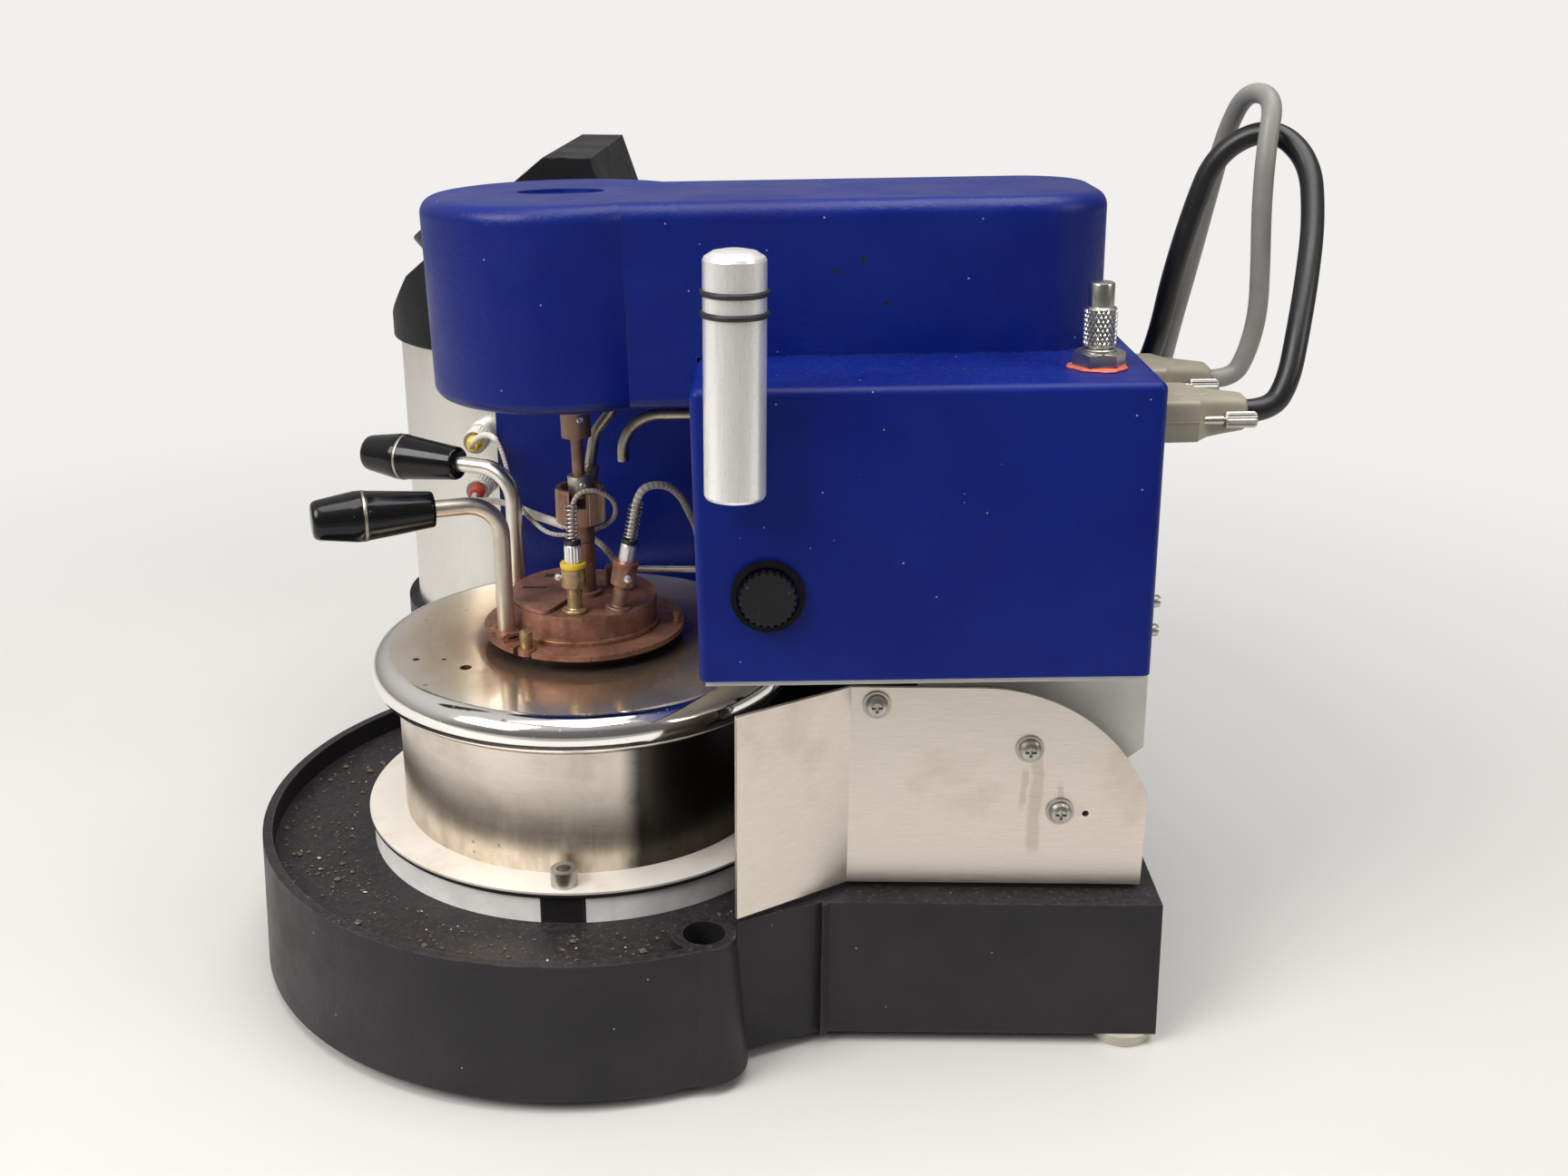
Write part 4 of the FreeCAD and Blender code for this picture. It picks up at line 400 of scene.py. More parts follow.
def group_blotch():
    """Large soft blotches as a mask."""
    t = Effect("Soft Blotches", "Mask", Scale=30.0, Low=0.45, High=0.65)
    value = t.noise(t.place, t.given["Scale"], 5.0, 0.6)
    return t.done(t.span(value, t.given["Low"], t.given["High"]))


def group_specks():
    """Small scattered specks: cell centres nearer than a size, only in some cells."""
    t = Effect("Fine Specks", "Mask", Scale=400.0, Size=0.16, Cover=0.3)
    cells = t.add("TexVoronoi", {"Vector": t.place, "Scale": t.given["Scale"]})
    near = t.math("LESS_THAN", cells.outputs["Distance"], t.given["Size"])
    dice = t.add("SeparateColor", {0: cells.outputs["Color"]}).outputs[0]
    return t.done(t.times(near, t.math("LESS_THAN", dice, t.given["Cover"])))


def group_grain():
    """Brushed grain: noise on a vector that is stretched before it comes in."""
    t = Effect("Brushed Grain", "Value", Scale=300.0)
    coarse = t.noise(t.place, t.given["Scale"], 4.0, 0.7)
    fine = t.noise(t.place, t.times(t.given["Scale"], 3.1), 3.0, 0.7)
    return t.done(t.plus(t.times(coarse, 0.6), t.times(fine, 0.4)))


def group_settled():
    """Dust that settles on faces that look up, in patches."""
    t = Effect("Settled Dust", "Mask", Scale=60.0, Amount=0.5)
    flat = t.span(t.split(t.add("NewGeometry").outputs["Normal"])["Z"], 0.75, 0.98)
    patch = t.span(t.noise(t.place, t.given["Scale"], 6.0, 0.65), 0.35, 0.7)
    return t.done(t.times(t.times(flat, patch), t.given["Amount"], True))


def group_wear():
    """Edge wear and painted highlight: how far the bevelled normal turns from the true one, broken up by
    noise.
    """
    t = Effect("Worn And Highlit Edges", "Mask", Radius=0.0012, Amount=1.0)
    bevel = t.add("Bevel", {"Radius": t.given["Radius"]}, samples=4)
    dot = t.add("VectorMath", {0: bevel.outputs[0], 1: t.add("NewGeometry").outputs["Normal"]},
        operation="DOT_PRODUCT")
    edge = t.span(dot.outputs["Value"], 0.995, 0.90)
    broken = t.span(t.noise(t.place, 160.0, 5.0, 0.7), 0.35, 0.65)
    return t.done(t.times(t.times(edge, broken), t.given["Amount"], True))


GRAIN = 260.0  # grain lines per metre of a brushed face, before it is stretched
GROUPS = {}


def make_groups():
    """All shared effects, built once."""
    GROUPS.update(skin=group_skin(), blotch=group_blotch(), specks=group_specks(), grain=group_grain(),
        settled=group_settled(), wear=group_wear())


class Finish(Tree):
    """Material with a Principled shader and object coordinates."""

    def __init__(self, name, **constants):
        self.material = bpy.data.materials.new(name)
        self.material.use_nodes = True
        super().__init__(self.material.node_tree)
        self.shader = self.tree.nodes["Principled BSDF"]
        self.set(**constants)
        self.place = self.add("TexCoord").outputs["Object"]

    def effect(self, group, vector=None, **values):
        """Value of a shared effect placed with its own settings."""
        made = self.add("Group", node_tree=GROUPS[group])
        for key, value in {"Vector": self.place if vector is None else vector, **values}.items():
            self.give(made.inputs[key], value)
        return made.outputs[0]

    def set(self, **sockets):
        """Gives values to the shader's inputs."""
        for key, value in sockets.items():
            self.give(self.shader.inputs[key.replace("_", " ")], value)

    def bump(self, height, strength, distance):
        """Bumps the surface by a height."""
        made = self.add("Bump", {"Height": height, "Strength": strength, "Distance": distance})
        self.set(Normal=made.outputs[0])

    def stretched(self, *scale):
        """Grain on the object's own coordinates, stretched."""
        return self.effect("grain", self.mapped(self.place, scale=scale), Scale=GRAIN)

    def over(self, colour, mask, amount, tint):
        """Colour with some of another laid over it where the mask is."""
        return self.mix(self.times(mask, amount), colour, tint)


def rgb(r, g, b):
    """Colour with full alpha."""
    return (r, g, b, 1.0)


def painted(name, dark, light, rough, pebble, depth, dust=0.0, wear=0.0, wear_colour=rgb(0.25, 0.25, 0.27),
        gloss=0.34):
    """Textured paint with patches, specks, settled dust, and edges made lighter for wear and as a painted
    highlight.
    """
    f = Finish(name, Specular_IOR_Level=gloss)
    patch = f.effect("blotch", Scale=18.0, Low=0.35, High=0.7)
    colour = f.mix(patch, dark, light)
    rough_value = f.even(f.noise(f.place, 45.0, 5.0), rough - 0.06, rough + 0.08)
    specks = f.effect("specks", Scale=260.0, Size=0.09, Cover=0.06)
    colour = f.over(colour, specks, 0.5, rgb(0.5, 0.5, 0.5))
    # Lighter edges: partly wear, partly a painted highlight along the edges
    if wear:
        colour = f.mix(f.effect("wear", Radius=0.0011, Amount=wear), colour, wear_colour)
    if dust:
        mask = f.effect("settled", Scale=520.0, Amount=dust)
        grit = f.effect("specks", Scale=620.0, Size=0.30, Cover=0.3)
        colour = f.over(colour, mask, 0.35, rgb(0.24, 0.21, 0.18))
        colour = f.over(colour, mask, grit, rgb(0.33, 0.25, 0.19))
        rough_value = f.plus(rough_value, f.times(mask, 0.3), True)
    f.set(Base_Color=colour, Roughness=rough_value)
    f.bump(f.effect("skin", Size=pebble, Depth=1.0), depth, 0.00035)
    return f.material


def brushed(name, base, stain, rough, stretch, stain_scale=22.0, stain_low=0.52, stain_high=0.75,
        strength=0.06, metal=1.0, depth=0.12):
    """Brushed metal: grain stretched along one way, with stains."""
    f = Finish(name, Metallic=metal)
    grain = f.stretched(*stretch)
    tone = f.even(grain, 1 - strength, 1 + strength)
    mask = f.effect("blotch", Scale=stain_scale, Low=stain_low, High=stain_high)
    colour = f.mix(mask, base, stain)
    shade = f.scaled(colour, tone)
    f.set(Base_Color=shade, Roughness=f.even(grain, rough - 0.05, rough + 0.07))
    f.bump(grain, depth, 0.00012)
    return f.material


def from_cup(f):
    """The place seen from the cup's axis, as X, Y and Z, and its distance from that axis in metres."""
    parts = f.split(f.mapped(f.place, location=(-CUP[0], -CUP[1], 0)))
    flat = f.add("CombineXYZ", {0: parts["X"], 1: parts["Y"]})
    return parts, f.length(flat.outputs[0])


def round_grain(f, *stretch):
    """Vector for grain that runs round the cup's axis: (radius, turn, height) for (x, y, z)."""
    parts, radius = from_cup(f)
    turn = f.math("ARCTAN2", parts["Y"], parts["X"])
    arc = f.times(f.math("SINE", f.times(turn, 0.5)), 0.08)
    made = f.add("CombineXYZ", {0: radius, 1: arc, 2: parts["Z"]})
    return f.mapped(made.outputs[0], scale=stretch)


def height_of(f):
    """Height above the base's lower edge, in metres."""
    z = f.split(f.place)["Z"]
    return f.minus(z, float(CUP[2]))


def polished(name, base, rough, smear=0.05, tint=None, amount=0.0, metal=1.0):
    """Polished metal with smears and, where asked, a second tint in blotches."""
    f = Finish(name, Metallic=metal)
    smears = f.noise(f.place, 60.0, 5.0, 0.65)
    colour = base
    if tint is not None:
        mask = f.effect("blotch", Scale=70.0, Low=0.42, High=0.68)
        colour = f.mix(f.times(mask, amount), base, tint)
    f.set(Base_Color=colour, Roughness=f.even(smears, rough, rough + smear))
    f.bump(f.noise(f.place, 900.0, 2.0), 0.03, 0.0001)
    return f.material


def patina(name, light, dark, warm, rough=0.48, metal=0.75):
    """Old bronze: brown ground, darker blotches, warm edges for wear and as a painted highlight."""
    f = Finish(name, Metallic=metal)
    blotch = f.effect("blotch", Scale=95.0, Low=0.38, High=0.66)
    fine = f.effect("blotch", Scale=420.0, Low=0.45, High=0.7)
    colour = f.mix(blotch, light, dark)
    colour = f.over(colour, fine, 0.35, warm)
    # Warm edges: partly wear, partly a painted highlight along the edges
    colour = f.mix(f.effect("wear", Radius=0.0007, Amount=0.8), colour, warm)
    spots = f.effect("specks", Scale=520.0, Size=0.22, Cover=0.12)
    colour = f.over(colour, spots, 0.6, rgb(0.035, 0.022, 0.016))
    f.set(Base_Color=colour, Roughness=f.even(f.noise(f.place, 220.0, 5.0), rough - 0.1, rough + 0.16))
    f.bump(f.noise(f.place, 700.0, 4.0), 0.15, 0.0002)
    return f.material


def plastic(name, colour, rough, fleck=0.0, coat=0.0, gloss=0.5):
    """Moulded plastic with faint cloudiness and flecks."""
    f = Finish(name, Coat_Weight=coat, Coat_Roughness=0.06, Specular_IOR_Level=gloss)
    cloud = f.effect("blotch", Scale=80.0, Low=0.3, High=0.75)
    tone = f.mix(cloud, colour, rgb(*[c * 0.82 + 0.004 for c in colour[:3]]))
    if fleck:
        tone = f.mix(f.times(f.effect("specks", Scale=500.0, Size=0.12, Cover=0.1), fleck), tone,
            rgb(0.6, 0.58, 0.52))
    f.set(Base_Color=tone, Roughness=f.even(f.noise(f.place, 150.0, 4.0), rough - 0.03, rough + 0.06))
    f.bump(f.noise(f.place, 1400.0, 2.0), 0.06, 0.0002)
    return f.material


def shield_finish(steel):
    """Brushed shield: fine grain along its length, soft stains, tea-coloured runs below a screw."""
    f = Finish("Brushed Shield", Metallic=1.0)
    grain = f.stretched(0.35, 1.0, 7.0)
    stain = f.effect("blotch", Scale=24.0, Low=0.54, High=0.80)
    colour = f.mix(stain, steel, rgb(steel[0] * 0.80, steel[1] * 0.76, steel[2] * 0.70))
    parts = f.split(f.place)
    waver = f.times(f.minus(f.noise(f.place, 70.0, 3.0), 0.5), 0.005)
    height = height_of(f)
    # Runs: x, lower end, upper end and half width in metres
    for x, low, high, half in ((0.1714, 0.066, 0.112, 0.0031), (0.1668, 0.084, 0.104, 0.0015),
            (0.1800, 0.078, 0.098, 0.0015)):
        off = f.math("ABSOLUTE", f.plus(f.minus(parts["X"], float(CUP[0]) + x), waver))
        run = f.times(f.span(off, half, half * 0.5), f.times(f.span(height, low, low + 0.006),
            f.span(height, high, high - 0.004)))
        colour = f.over(colour, run, 0.40, rgb(0.42, 0.35, 0.27))
    tone = f.even(grain, 0.89, 1.09)
    shade = f.scaled(colour, tone)
    f.set(Base_Color=shade, Roughness=f.even(grain, 0.33, 0.45))
    f.bump(grain, 0.14, 0.00012)
    return f.material


def plate_finish():
    """Pale round plate: faint round grain, tan spots, a dark line along its lower edge."""
    f = Finish("Stove Plate", Metallic=0.2)
    grain = f.effect("grain", round_grain(f, 9.0, 0.5, 1.0), Scale=GRAIN)
    colour = f.mix(f.effect("blotch", Scale=30.0, Low=0.48, High=0.74), rgb(0.82, 0.775, 0.715),
        rgb(0.68, 0.59, 0.49))
    spots = f.effect("specks", Scale=170.0, Size=0.12, Cover=0.14)
    colour = f.over(colour, spots, 0.7, rgb(0.30, 0.19, 0.12))
    low = float(plate_low.z) - float(CUP[2])
    colour = f.mix(f.span(height_of(f), low + 0.0013, low + 0.0010), colour, rgb(0.02, 0.018, 0.017))
    f.set(Base_Color=colour, Roughness=f.even(grain, 0.42, 0.54))
    f.bump(grain, 0.08, 0.0001)
    return f.material


def knurl_finish():
    """Knurled steel: the mesh's own Cut attribute, 0 in a groove and 1 on a ridge, makes the grooves darker
    and rougher."""
    f = Finish("Knurled Steel", Metallic=1.0)
    cut = f.add("Attribute", attribute_name="Cut").outputs["Fac"]
    groove_colour = f.mix(f.noise(f.place, 400.0, 3.0), rgb(0.07, 0.075, 0.06), rgb(0.16, 0.15, 0.11))
    f.set(Base_Color=f.mix(f.span(cut, 0.08, 0.50), groove_colour, rgb(0.62, 0.62, 0.57)),
        Roughness=f.span(cut, 0.0, 0.6, 0.55, 0.24))
    f.bump(f.noise(f.place, 900.0, 2.0), 0.03, 0.0001)
    return f.material


def dome_finish():
    """Polished dome: bright rim, brown and violet heat tint near the cup, drips and spots."""
    f = Finish("Heat Tinted Dome", Metallic=1.0)
    radius = from_cup(f)[1]
    wobble = f.times(f.minus(f.noise(f.place, 26.0, 4.0), 0.5), 0.030)
    ring = f.plus(radius, wobble)
    # Radii in metres: the flat top ends at its rim, the tint's bands follow inwards
    flat = f.span(radius, 0.0785, 0.0760)
    steel = f.mix(flat, rgb(0.97, 0.94, 0.90), rgb(0.78, 0.71, 0.62))
    straw = f.mix(f.span(ring, 0.080, 0.062), steel, rgb(0.66, 0.54, 0.40))
    brown = f.mix(f.span(ring, 0.062, 0.047), straw, rgb(0.50, 0.36, 0.25))
    violet = f.mix(f.span(ring, 0.046, 0.038), brown, rgb(0.30, 0.22, 0.18))
    spots = f.effect("specks", Scale=150.0, Size=0.16, Cover=0.16)
    colour = f.mix(f.times(spots, 0.5), violet, rgb(0.16, 0.10, 0.07))
    smears = f.noise(f.place, 34.0, 6.0, 0.7)
    grit = f.effect("specks", Scale=650.0, Size=0.2, Cover=0.10)
    film = f.times(flat, f.span(smears, 0.30, 0.70, 0.02, 0.12))
    rough = f.plus(f.span(smears, 0.35, 0.75, 0.06, 0.14), f.times(grit, 0.2))
    f.set(Base_Color=colour, Roughness=f.plus(rough, film), Metallic=f.span(flat, 0.0, 1.0, 1.0, 0.86))
    f.bump(f.noise(f.place, 120.0, 4.0), 0.03, 0.0004)
    return f.material


def cylinder_finish():
    """Brushed stove wall: grain round the axis, baked brown streaks lower down, and a painted dark
    reflection that turns it near black towards +x.
    """
    f = Finish("Stained Stove Wall", Metallic=1.0)
    grain = f.effect("grain", round_grain(f, 1, 0.6, 9.0), Scale=240.0)
    height = height_of(f)
    streak = f.noise(round_grain(f, 1, 6.0, 0.7), 60.0, 5.0, 0.6)
    low = f.span(f.plus(height, f.times(f.minus(streak, 0.5), 0.06)), 0.104, 0.060)
    stain = f.times(low, f.span(streak, 0.3, 0.65), True)
    patch = f.effect("blotch", Scale=26.0, Low=0.42, High=0.66)
    colour = f.mix(f.times(patch, 0.55), rgb(0.83, 0.75, 0.65), rgb(0.54, 0.45, 0.35))
    colour = f.over(colour, stain, 0.5, rgb(0.36, 0.28, 0.20))
    spots = f.effect("specks", Scale=190.0, Size=0.17, Cover=0.06)
    colour = f.over(colour, spots, 0.5, rgb(0.20, 0.13, 0.09))
    # Painted dark reflection: the wall goes near black towards +x
    side = from_cup(f)[0]
    painted_dark_reflection = f.span(f.plus(side["X"], f.times(patch, 0.003)), 0.019, 0.028)
    colour = f.over(colour, painted_dark_reflection, 0.93, rgb(0.018, 0.015, 0.014))
    f.set(Base_Color=colour, Roughness=f.even(grain, 0.26, 0.38))
    f.bump(grain, 0.12, 0.00012)
    return f.material


def braid_finish(name, light, dark, tracer, turns, pitch):
    """Braided sleeve: two sets of strands cross; their sum gives bumps and a dark tracer."""
    f = Finish(name, Roughness=0.75)
    uv = f.add("UVMap", uv_map="Along").outputs[0]
    parts = f.split(uv)
    around = f.times(parts["X"], turns * math.pi)
    along = f.times(parts["Y"], TAU / pitch)
    one = f.math("SINE", f.plus(around, along))
    two = f.math("SINE", f.minus(around, along))
    weave = f.times(one, two)
    colour = f.mix(f.span(weave, -0.6, 0.8), dark, light)
    trace = f.times(f.span(one, 0.72, 0.9), f.span(f.noise(uv, 900.0, 1.0), 0.4, 0.6))
    colour = f.over(colour, trace, tracer, rgb(0.07, 0.06, 0.055))
    colour = f.over(colour, f.effect("blotch", Scale=160.0, Low=0.5, High=0.7), 0.4, rgb(0.38, 0.30, 0.20))
    f.set(Base_Color=colour)
    f.bump(weave, 0.6, 0.0003)
    return f.material


SURROUND = rgb(0.885, 0.870, 0.850)


def floor_finish():
    """Plain pale floor that passes into the surround's colour away from the object; what mirrors the
    floor in front of the object sees it dark, as a table that ends there."""
    f = Finish("Pale Floor", Roughness=0.6)
    pale = f.mix(f.effect("blotch", Scale=1.5), rgb(0.585, 0.58, 0.565), rgb(0.61, 0.60, 0.585))
    flat = f.mapped(f.place, scale=(1, 1, 0))
    away = f.length(flat)
    glow = f.add("Emission", {"Color": SURROUND, "Strength": 1.0})
    path = f.add("LightPath")
    seen = path.outputs["Is Camera Ray"]
    front = f.span(f.split(f.place)["Y"], -0.36, -0.60)
    unlit = f.times(front, f.minus(1.0, seen))
    f.set(Base_Color=f.mix(unlit, pale, rgb(0.22, 0.215, 0.21)))
    share = f.times(f.span(away, 0.30, 0.95), seen)
    both = f.add("MixShader", {0: share, 1: f.shader.outputs[0], 2: glow.outputs[0]})
    end = f.tree.nodes["Material Output"]
    f.tree.links.new(both.outputs[0], end.inputs["Surface"])
    return f.material


def grit_finish():
    """Brown grains, some of them whitish: the patches are larger than a grain."""
    f = Finish("Mixed Grit", Roughness=0.8)
    white = f.span(f.noise(f.place, 160.0, 2.0), 0.63, 0.66)
    f.set(Base_Color=f.mix(white, rgb(0.11, 0.075, 0.055), rgb(0.62, 0.56, 0.50)))
    return f.material


# Old bronze and brass: light, dark and warm colour, roughness, metal share
PATINAS = {
    "bronze_dark": ("Dark Bronze", rgb(0.37, 0.175, 0.130), rgb(0.24, 0.112, 0.080), rgb(0.48, 0.28, 0.17),
        0.46, 0.30),
    "rim": ("Golden Rim", rgb(0.50, 0.34, 0.16), rgb(0.28, 0.17, 0.08), rgb(0.66, 0.47, 0.24), 0.36, 0.95),
    "brass": ("Post Brass", rgb(0.42, 0.295, 0.155), rgb(0.28, 0.185, 0.10), rgb(0.62, 0.47, 0.25), 0.36,
        0.7),
    "red_ring": ("Red Brown Ring", rgb(0.36, 0.11, 0.08), rgb(0.20, 0.07, 0.05), rgb(0.45, 0.18, 0.12), 0.45,
        0.4),
}
# Smooth metals: colour, roughness, smears, second colour, its amount, metal share
POLISHED = {
    "rod": ("Bent Rod Steel", rgb(0.86, 0.81, 0.74), 0.26, 0.12, rgb(0.62, 0.51, 0.40), 0.5),
    "nozzle": ("Stained Tube Steel", rgb(0.52, 0.46, 0.38), 0.30, 0.14, rgb(0.26, 0.19, 0.13), 0.8),
    "bright": ("Turned Aluminium", rgb(0.95, 0.94, 0.92), 0.27, 0.10, None, 0.0, 0.85),
    "nut": ("Plated Steel", rgb(0.50, 0.48, 0.45), 0.27, 0.16, rgb(0.32, 0.28, 0.23), 0.5),
    "spring": ("Spring Wire", rgb(0.62, 0.60, 0.56), 0.22, 0.1, rgb(0.30, 0.26, 0.22), 0.6),
    "copper": ("Copper Brown Steel", rgb(0.40, 0.24, 0.165), 0.36, 0.14, rgb(0.20, 0.115, 0.08), 0.8, 0.6),
    "rod_tan": ("Blasted Rod Steel", rgb(0.70, 0.63, 0.54), 0.36, 0.10, rgb(0.52, 0.43, 0.34), 0.5),
    "band": ("Ring Metal", rgb(0.46, 0.43, 0.36), 0.30, 0.12, rgb(0.30, 0.25, 0.18), 0.5),
    "rib": ("Rib Copper", rgb(0.56, 0.38, 0.29), 0.40, 0.10, rgb(0.34, 0.21, 0.15), 0.5, 0.5),
    "sleeve_metal": ("Pale Sleeve", rgb(0.66, 0.62, 0.55), 0.40, 0.12, rgb(0.48, 0.42, 0.34), 0.5),
}
# Mouldings: colour, roughness, flecks, coat, gloss
PLASTICS = {
    "sleeve": ("White Sleeve", rgb(0.80, 0.77, 0.71), 0.45, 0.1),
    "grip": ("Black Grip", rgb(0.005, 0.005, 0.0055), 0.13, 0.1, 0.0, 0.32),
    "cap": ("Black Cap", rgb(0.008, 0.0075, 0.010), 0.36, 0.2, 0.0, 0.3),
    "cap_ring": ("Black Ring", rgb(0.003, 0.003, 0.003), 0.42, 0.1, 0.0, 0.14),
    "rubber": ("Black Rubber", rgb(0.013, 0.012, 0.013), 0.48),
    "skirt": ("White Skirt", rgb(0.97, 0.96, 0.94), 0.5, 0.1),
    "foot": ("Pale Foot", rgb(0.52, 0.49, 0.40), 0.55, 0.2),
    "hood": ("Pale Hood", rgb(0.33, 0.30, 0.23), 0.42, 0.4),
    "plug": ("Pale Plug", rgb(0.72, 0.70, 0.62), 0.40),
    "yellow": ("Yellow Mark", rgb(0.80, 0.56, 0.03), 0.45),
    "red": ("Red Mark", rgb(0.55, 0.06, 0.035), 0.45),
    "washer": ("Red Washer", rgb(0.58, 0.13, 0.075), 0.5, 0.3),
    "cable_black": ("Black Cable", rgb(0.008, 0.008, 0.009), 0.36),
    "cable_grey": ("Grey Cable", rgb(0.25, 0.25, 0.235), 0.42),
    "window": ("Dark Window", rgb(0.012, 0.020, 0.022), 0.08, 0.0, 0.8),
    "knob": ("Turned Knob", rgb(0.018, 0.018, 0.020), 0.30),
    "board": ("Green Board", rgb(0.02, 0.16, 0.06), 0.35),
    "dark": ("Hole Shade", rgb(0.002, 0.003, 0.030), 0.5),
    # Painted shade, for the heater block in the shadow under the cup and for the shutter's openings
    "sooty": ("Sooty Block", rgb(0.035, 0.026, 0.022), 0.6),
}
# Braids: light, dark, tracer, strands, pitch in metres
BRAIDS = {
    "braid_yellow": ("Fine Braid", rgb(0.88, 0.83, 0.74), rgb(0.42, 0.37, 0.29), 0.8, 8, 0.0030),
    "braid_white": ("White Braid", rgb(0.86, 0.83, 0.78), rgb(0.50, 0.45, 0.38), 0.4, 8, 0.0034),
    "braid_probe": ("Metal Braid", rgb(0.92, 0.87, 0.78), rgb(0.44, 0.38, 0.30), 0.35, 12, 0.0040),
}
MATERIALS = {}


def make_materials(colours):
    """Every finish by its plain name."""
    blue, black, steel, bronze = map(tuple, (colours.blue, colours.black, colours.steel, colours.bronze))
    blue_light = (blue[0] * 1.6, blue[1] * 1.5, blue[2] * 1.2, 1.0)
    for build, table in ((patina, PATINAS), (polished, POLISHED), (plastic, PLASTICS),
            (braid_finish, BRAIDS)):
        MATERIALS.update({key: build(*row) for key, row in table.items()})
    MATERIALS.update(
        blue=painted("Blue Textured Paint", blue, blue_light, 0.34, 620.0, 0.30, dust=0.06, wear=0.35,
            wear_colour=rgb(0.07, 0.10, 0.30), gloss=0.30),
        blue_fine=painted("Blue Smooth Paint", blue, blue_light, 0.36, 900.0, 0.16, dust=0.08, wear=0.40,
            wear_colour=rgb(0.08, 0.11, 0.32), gloss=0.20),
        base_black=painted("Black Base", black, (black[0] * 1.5, black[1] * 1.45, black[2] * 1.5, 1), 0.45,
            520.0, 0.30, dust=0.22, wear=0.55, wear_colour=rgb(0.085, 0.080, 0.080), gloss=0.30),
        tower_black=painted("Black Tower", rgb(0.012, 0.0115, 0.0125), rgb(0.018, 0.017, 0.019), 0.44, 560.0,
            0.30, dust=0.02, wear=0.4, gloss=0.12),
        frame_black=painted("Black Frame", rgb(0.014, 0.014, 0.015), rgb(0.024, 0.023, 0.024), 0.55, 800.0,
            0.12),
        pale=painted("Pale Frame", rgb(0.60, 0.60, 0.56), rgb(0.68, 0.67, 0.63), 0.45, 900.0, 0.08,
            dust=0.2),
        shield=shield_finish(steel),
        shell=brushed("Brushed Shell", rgb(0.78, 0.755, 0.71), rgb(0.66, 0.62, 0.56), 0.33, (6.0, 6.0, 0.5),
            18.0),
        plate=plate_finish(),
        cylinder=cylinder_finish(),
        dome=dome_finish(),
        bronze=patina("Brown Bronze", bronze, rgb(bronze[0] * 0.62, bronze[1] * 0.60, bronze[2] * 0.6),
            rgb(0.48, 0.29, 0.17), 0.42, 0.45),
        tube=brushed("Turned Tube", rgb(0.97, 0.955, 0.93), rgb(0.90, 0.86, 0.82), 0.30, (7.0, 7.0, 0.25),
            20.0, 0.60, 0.85, 0.02, 0.68, 0.006),
        knurl=knurl_finish(),
        grit=grit_finish())


# CAD nodes that wear each finish
WORN_BY = {
    "base_black": "base_tray",
    "frame_black": "base_bottom_plate chassis_frame",
    "foot": "base_feet heater_band",
    "nut": "foot_screws plate_screws shield_screws pivot_shaft plunger_nut index_plunger "
        "hood_thumbscrews knob_shaft",
    "skirt": "skirt_ring",
    "rubber": "stove_gasket tube_rings power_inlet wall_glands",
    "plate": "stove_plate",
    "cylinder": "stove_cylinder",
    "dome": "stove_dome",
    # Painted shadow: the heater block sits in shade under the cup's flange
    "sooty": "heater_block",
    "shield": "shield_plate",
    "pale": "head_frame",
    "blue_fine": "box_cover housing_rear_panel",
    "blue": "arm_cover housing_cover",
    "shell": "stirrer_motor tower_shell",
    "copper": "drive_spindle stirrer",
    "nozzle": "nozzle_tube guide_rod",
    "cap_ring": "cap_ring",
    "cap": "screw_cap",
    "hood": "connector_hoods",
    "tube": "storage_tube",
    "tower_black": "tower_plinth display_head",
    "window": "display_window",
    "knob": "turn_knob",
    "bright": "tower_sockets sensor_probes",
    "plug": "sensor_plugs",
    "board": "circuit_board",
    "bronze": "test_cup lid_cover",
    "rod_tan": "cup_handle",
    "grip": "cup_grip lid_grip",
    "rod": "lid_handle",
    "brass": "sensor_sockets",
    "spring": "strain_springs",
    "bronze_dark": "shutter_plate",
}


def paint(name, text, default):
    """Colour setting."""
    return bpy.props.FloatVectorProperty(name=name, description=text, subtype="COLOR", size=4,
        default=default, min=0, max=1)


def thickness(name, text, default, most=0.01):
    """Setting for a cable's diameter."""
    return bpy.props.FloatProperty(name=name, description=text, unit="LENGTH", default=default, min=0.001,
        max=most)


class FLASH_PG_colours(bpy.types.PropertyGroup):
    """Colours a user would change."""
    blue: paint("Head blue", "Paint of head and housing", (0.0014, 0.0096, 0.148, 1.0))
    black: paint("Base black", "Paint of the base", (0.0125, 0.0115, 0.0130, 1.0))
    steel: paint("Shield steel", "Colour of the brushed shield", (0.77, 0.70, 0.63, 1.0))
    bronze: paint("Lid bronze", "Ground colour of cup and lid", (0.345, 0.162, 0.108, 1.0))


class FLASH_PG_sizes(bpy.types.PropertyGroup):
    """Sizes a user would change."""
    yellow_cable: thickness("Yellow sensor lead", "Diameter of the thin braided lead", 0.0018)
    white_cable: thickness("White lead", "Diameter of the white braided lead", 0.0026)
    probe_cable: thickness("Red sensor lead", "Diameter of the metal braid", 0.0030)
    black_cable: thickness("Black cable", "Diameter of the black cable", 0.0080, 0.02)
    grey_cable: thickness("Grey cable", "Diameter of the grey cable", 0.0070, 0.02)
    lens: bpy.props.FloatProperty(name="Lens", description="Focal length of the camera in millimetres",
        default=36.548, min=10, max=200)
    grit_count: bpy.props.IntProperty(name="Grit", description="How many grains lie in the tray",
        default=420, min=0, max=2000)


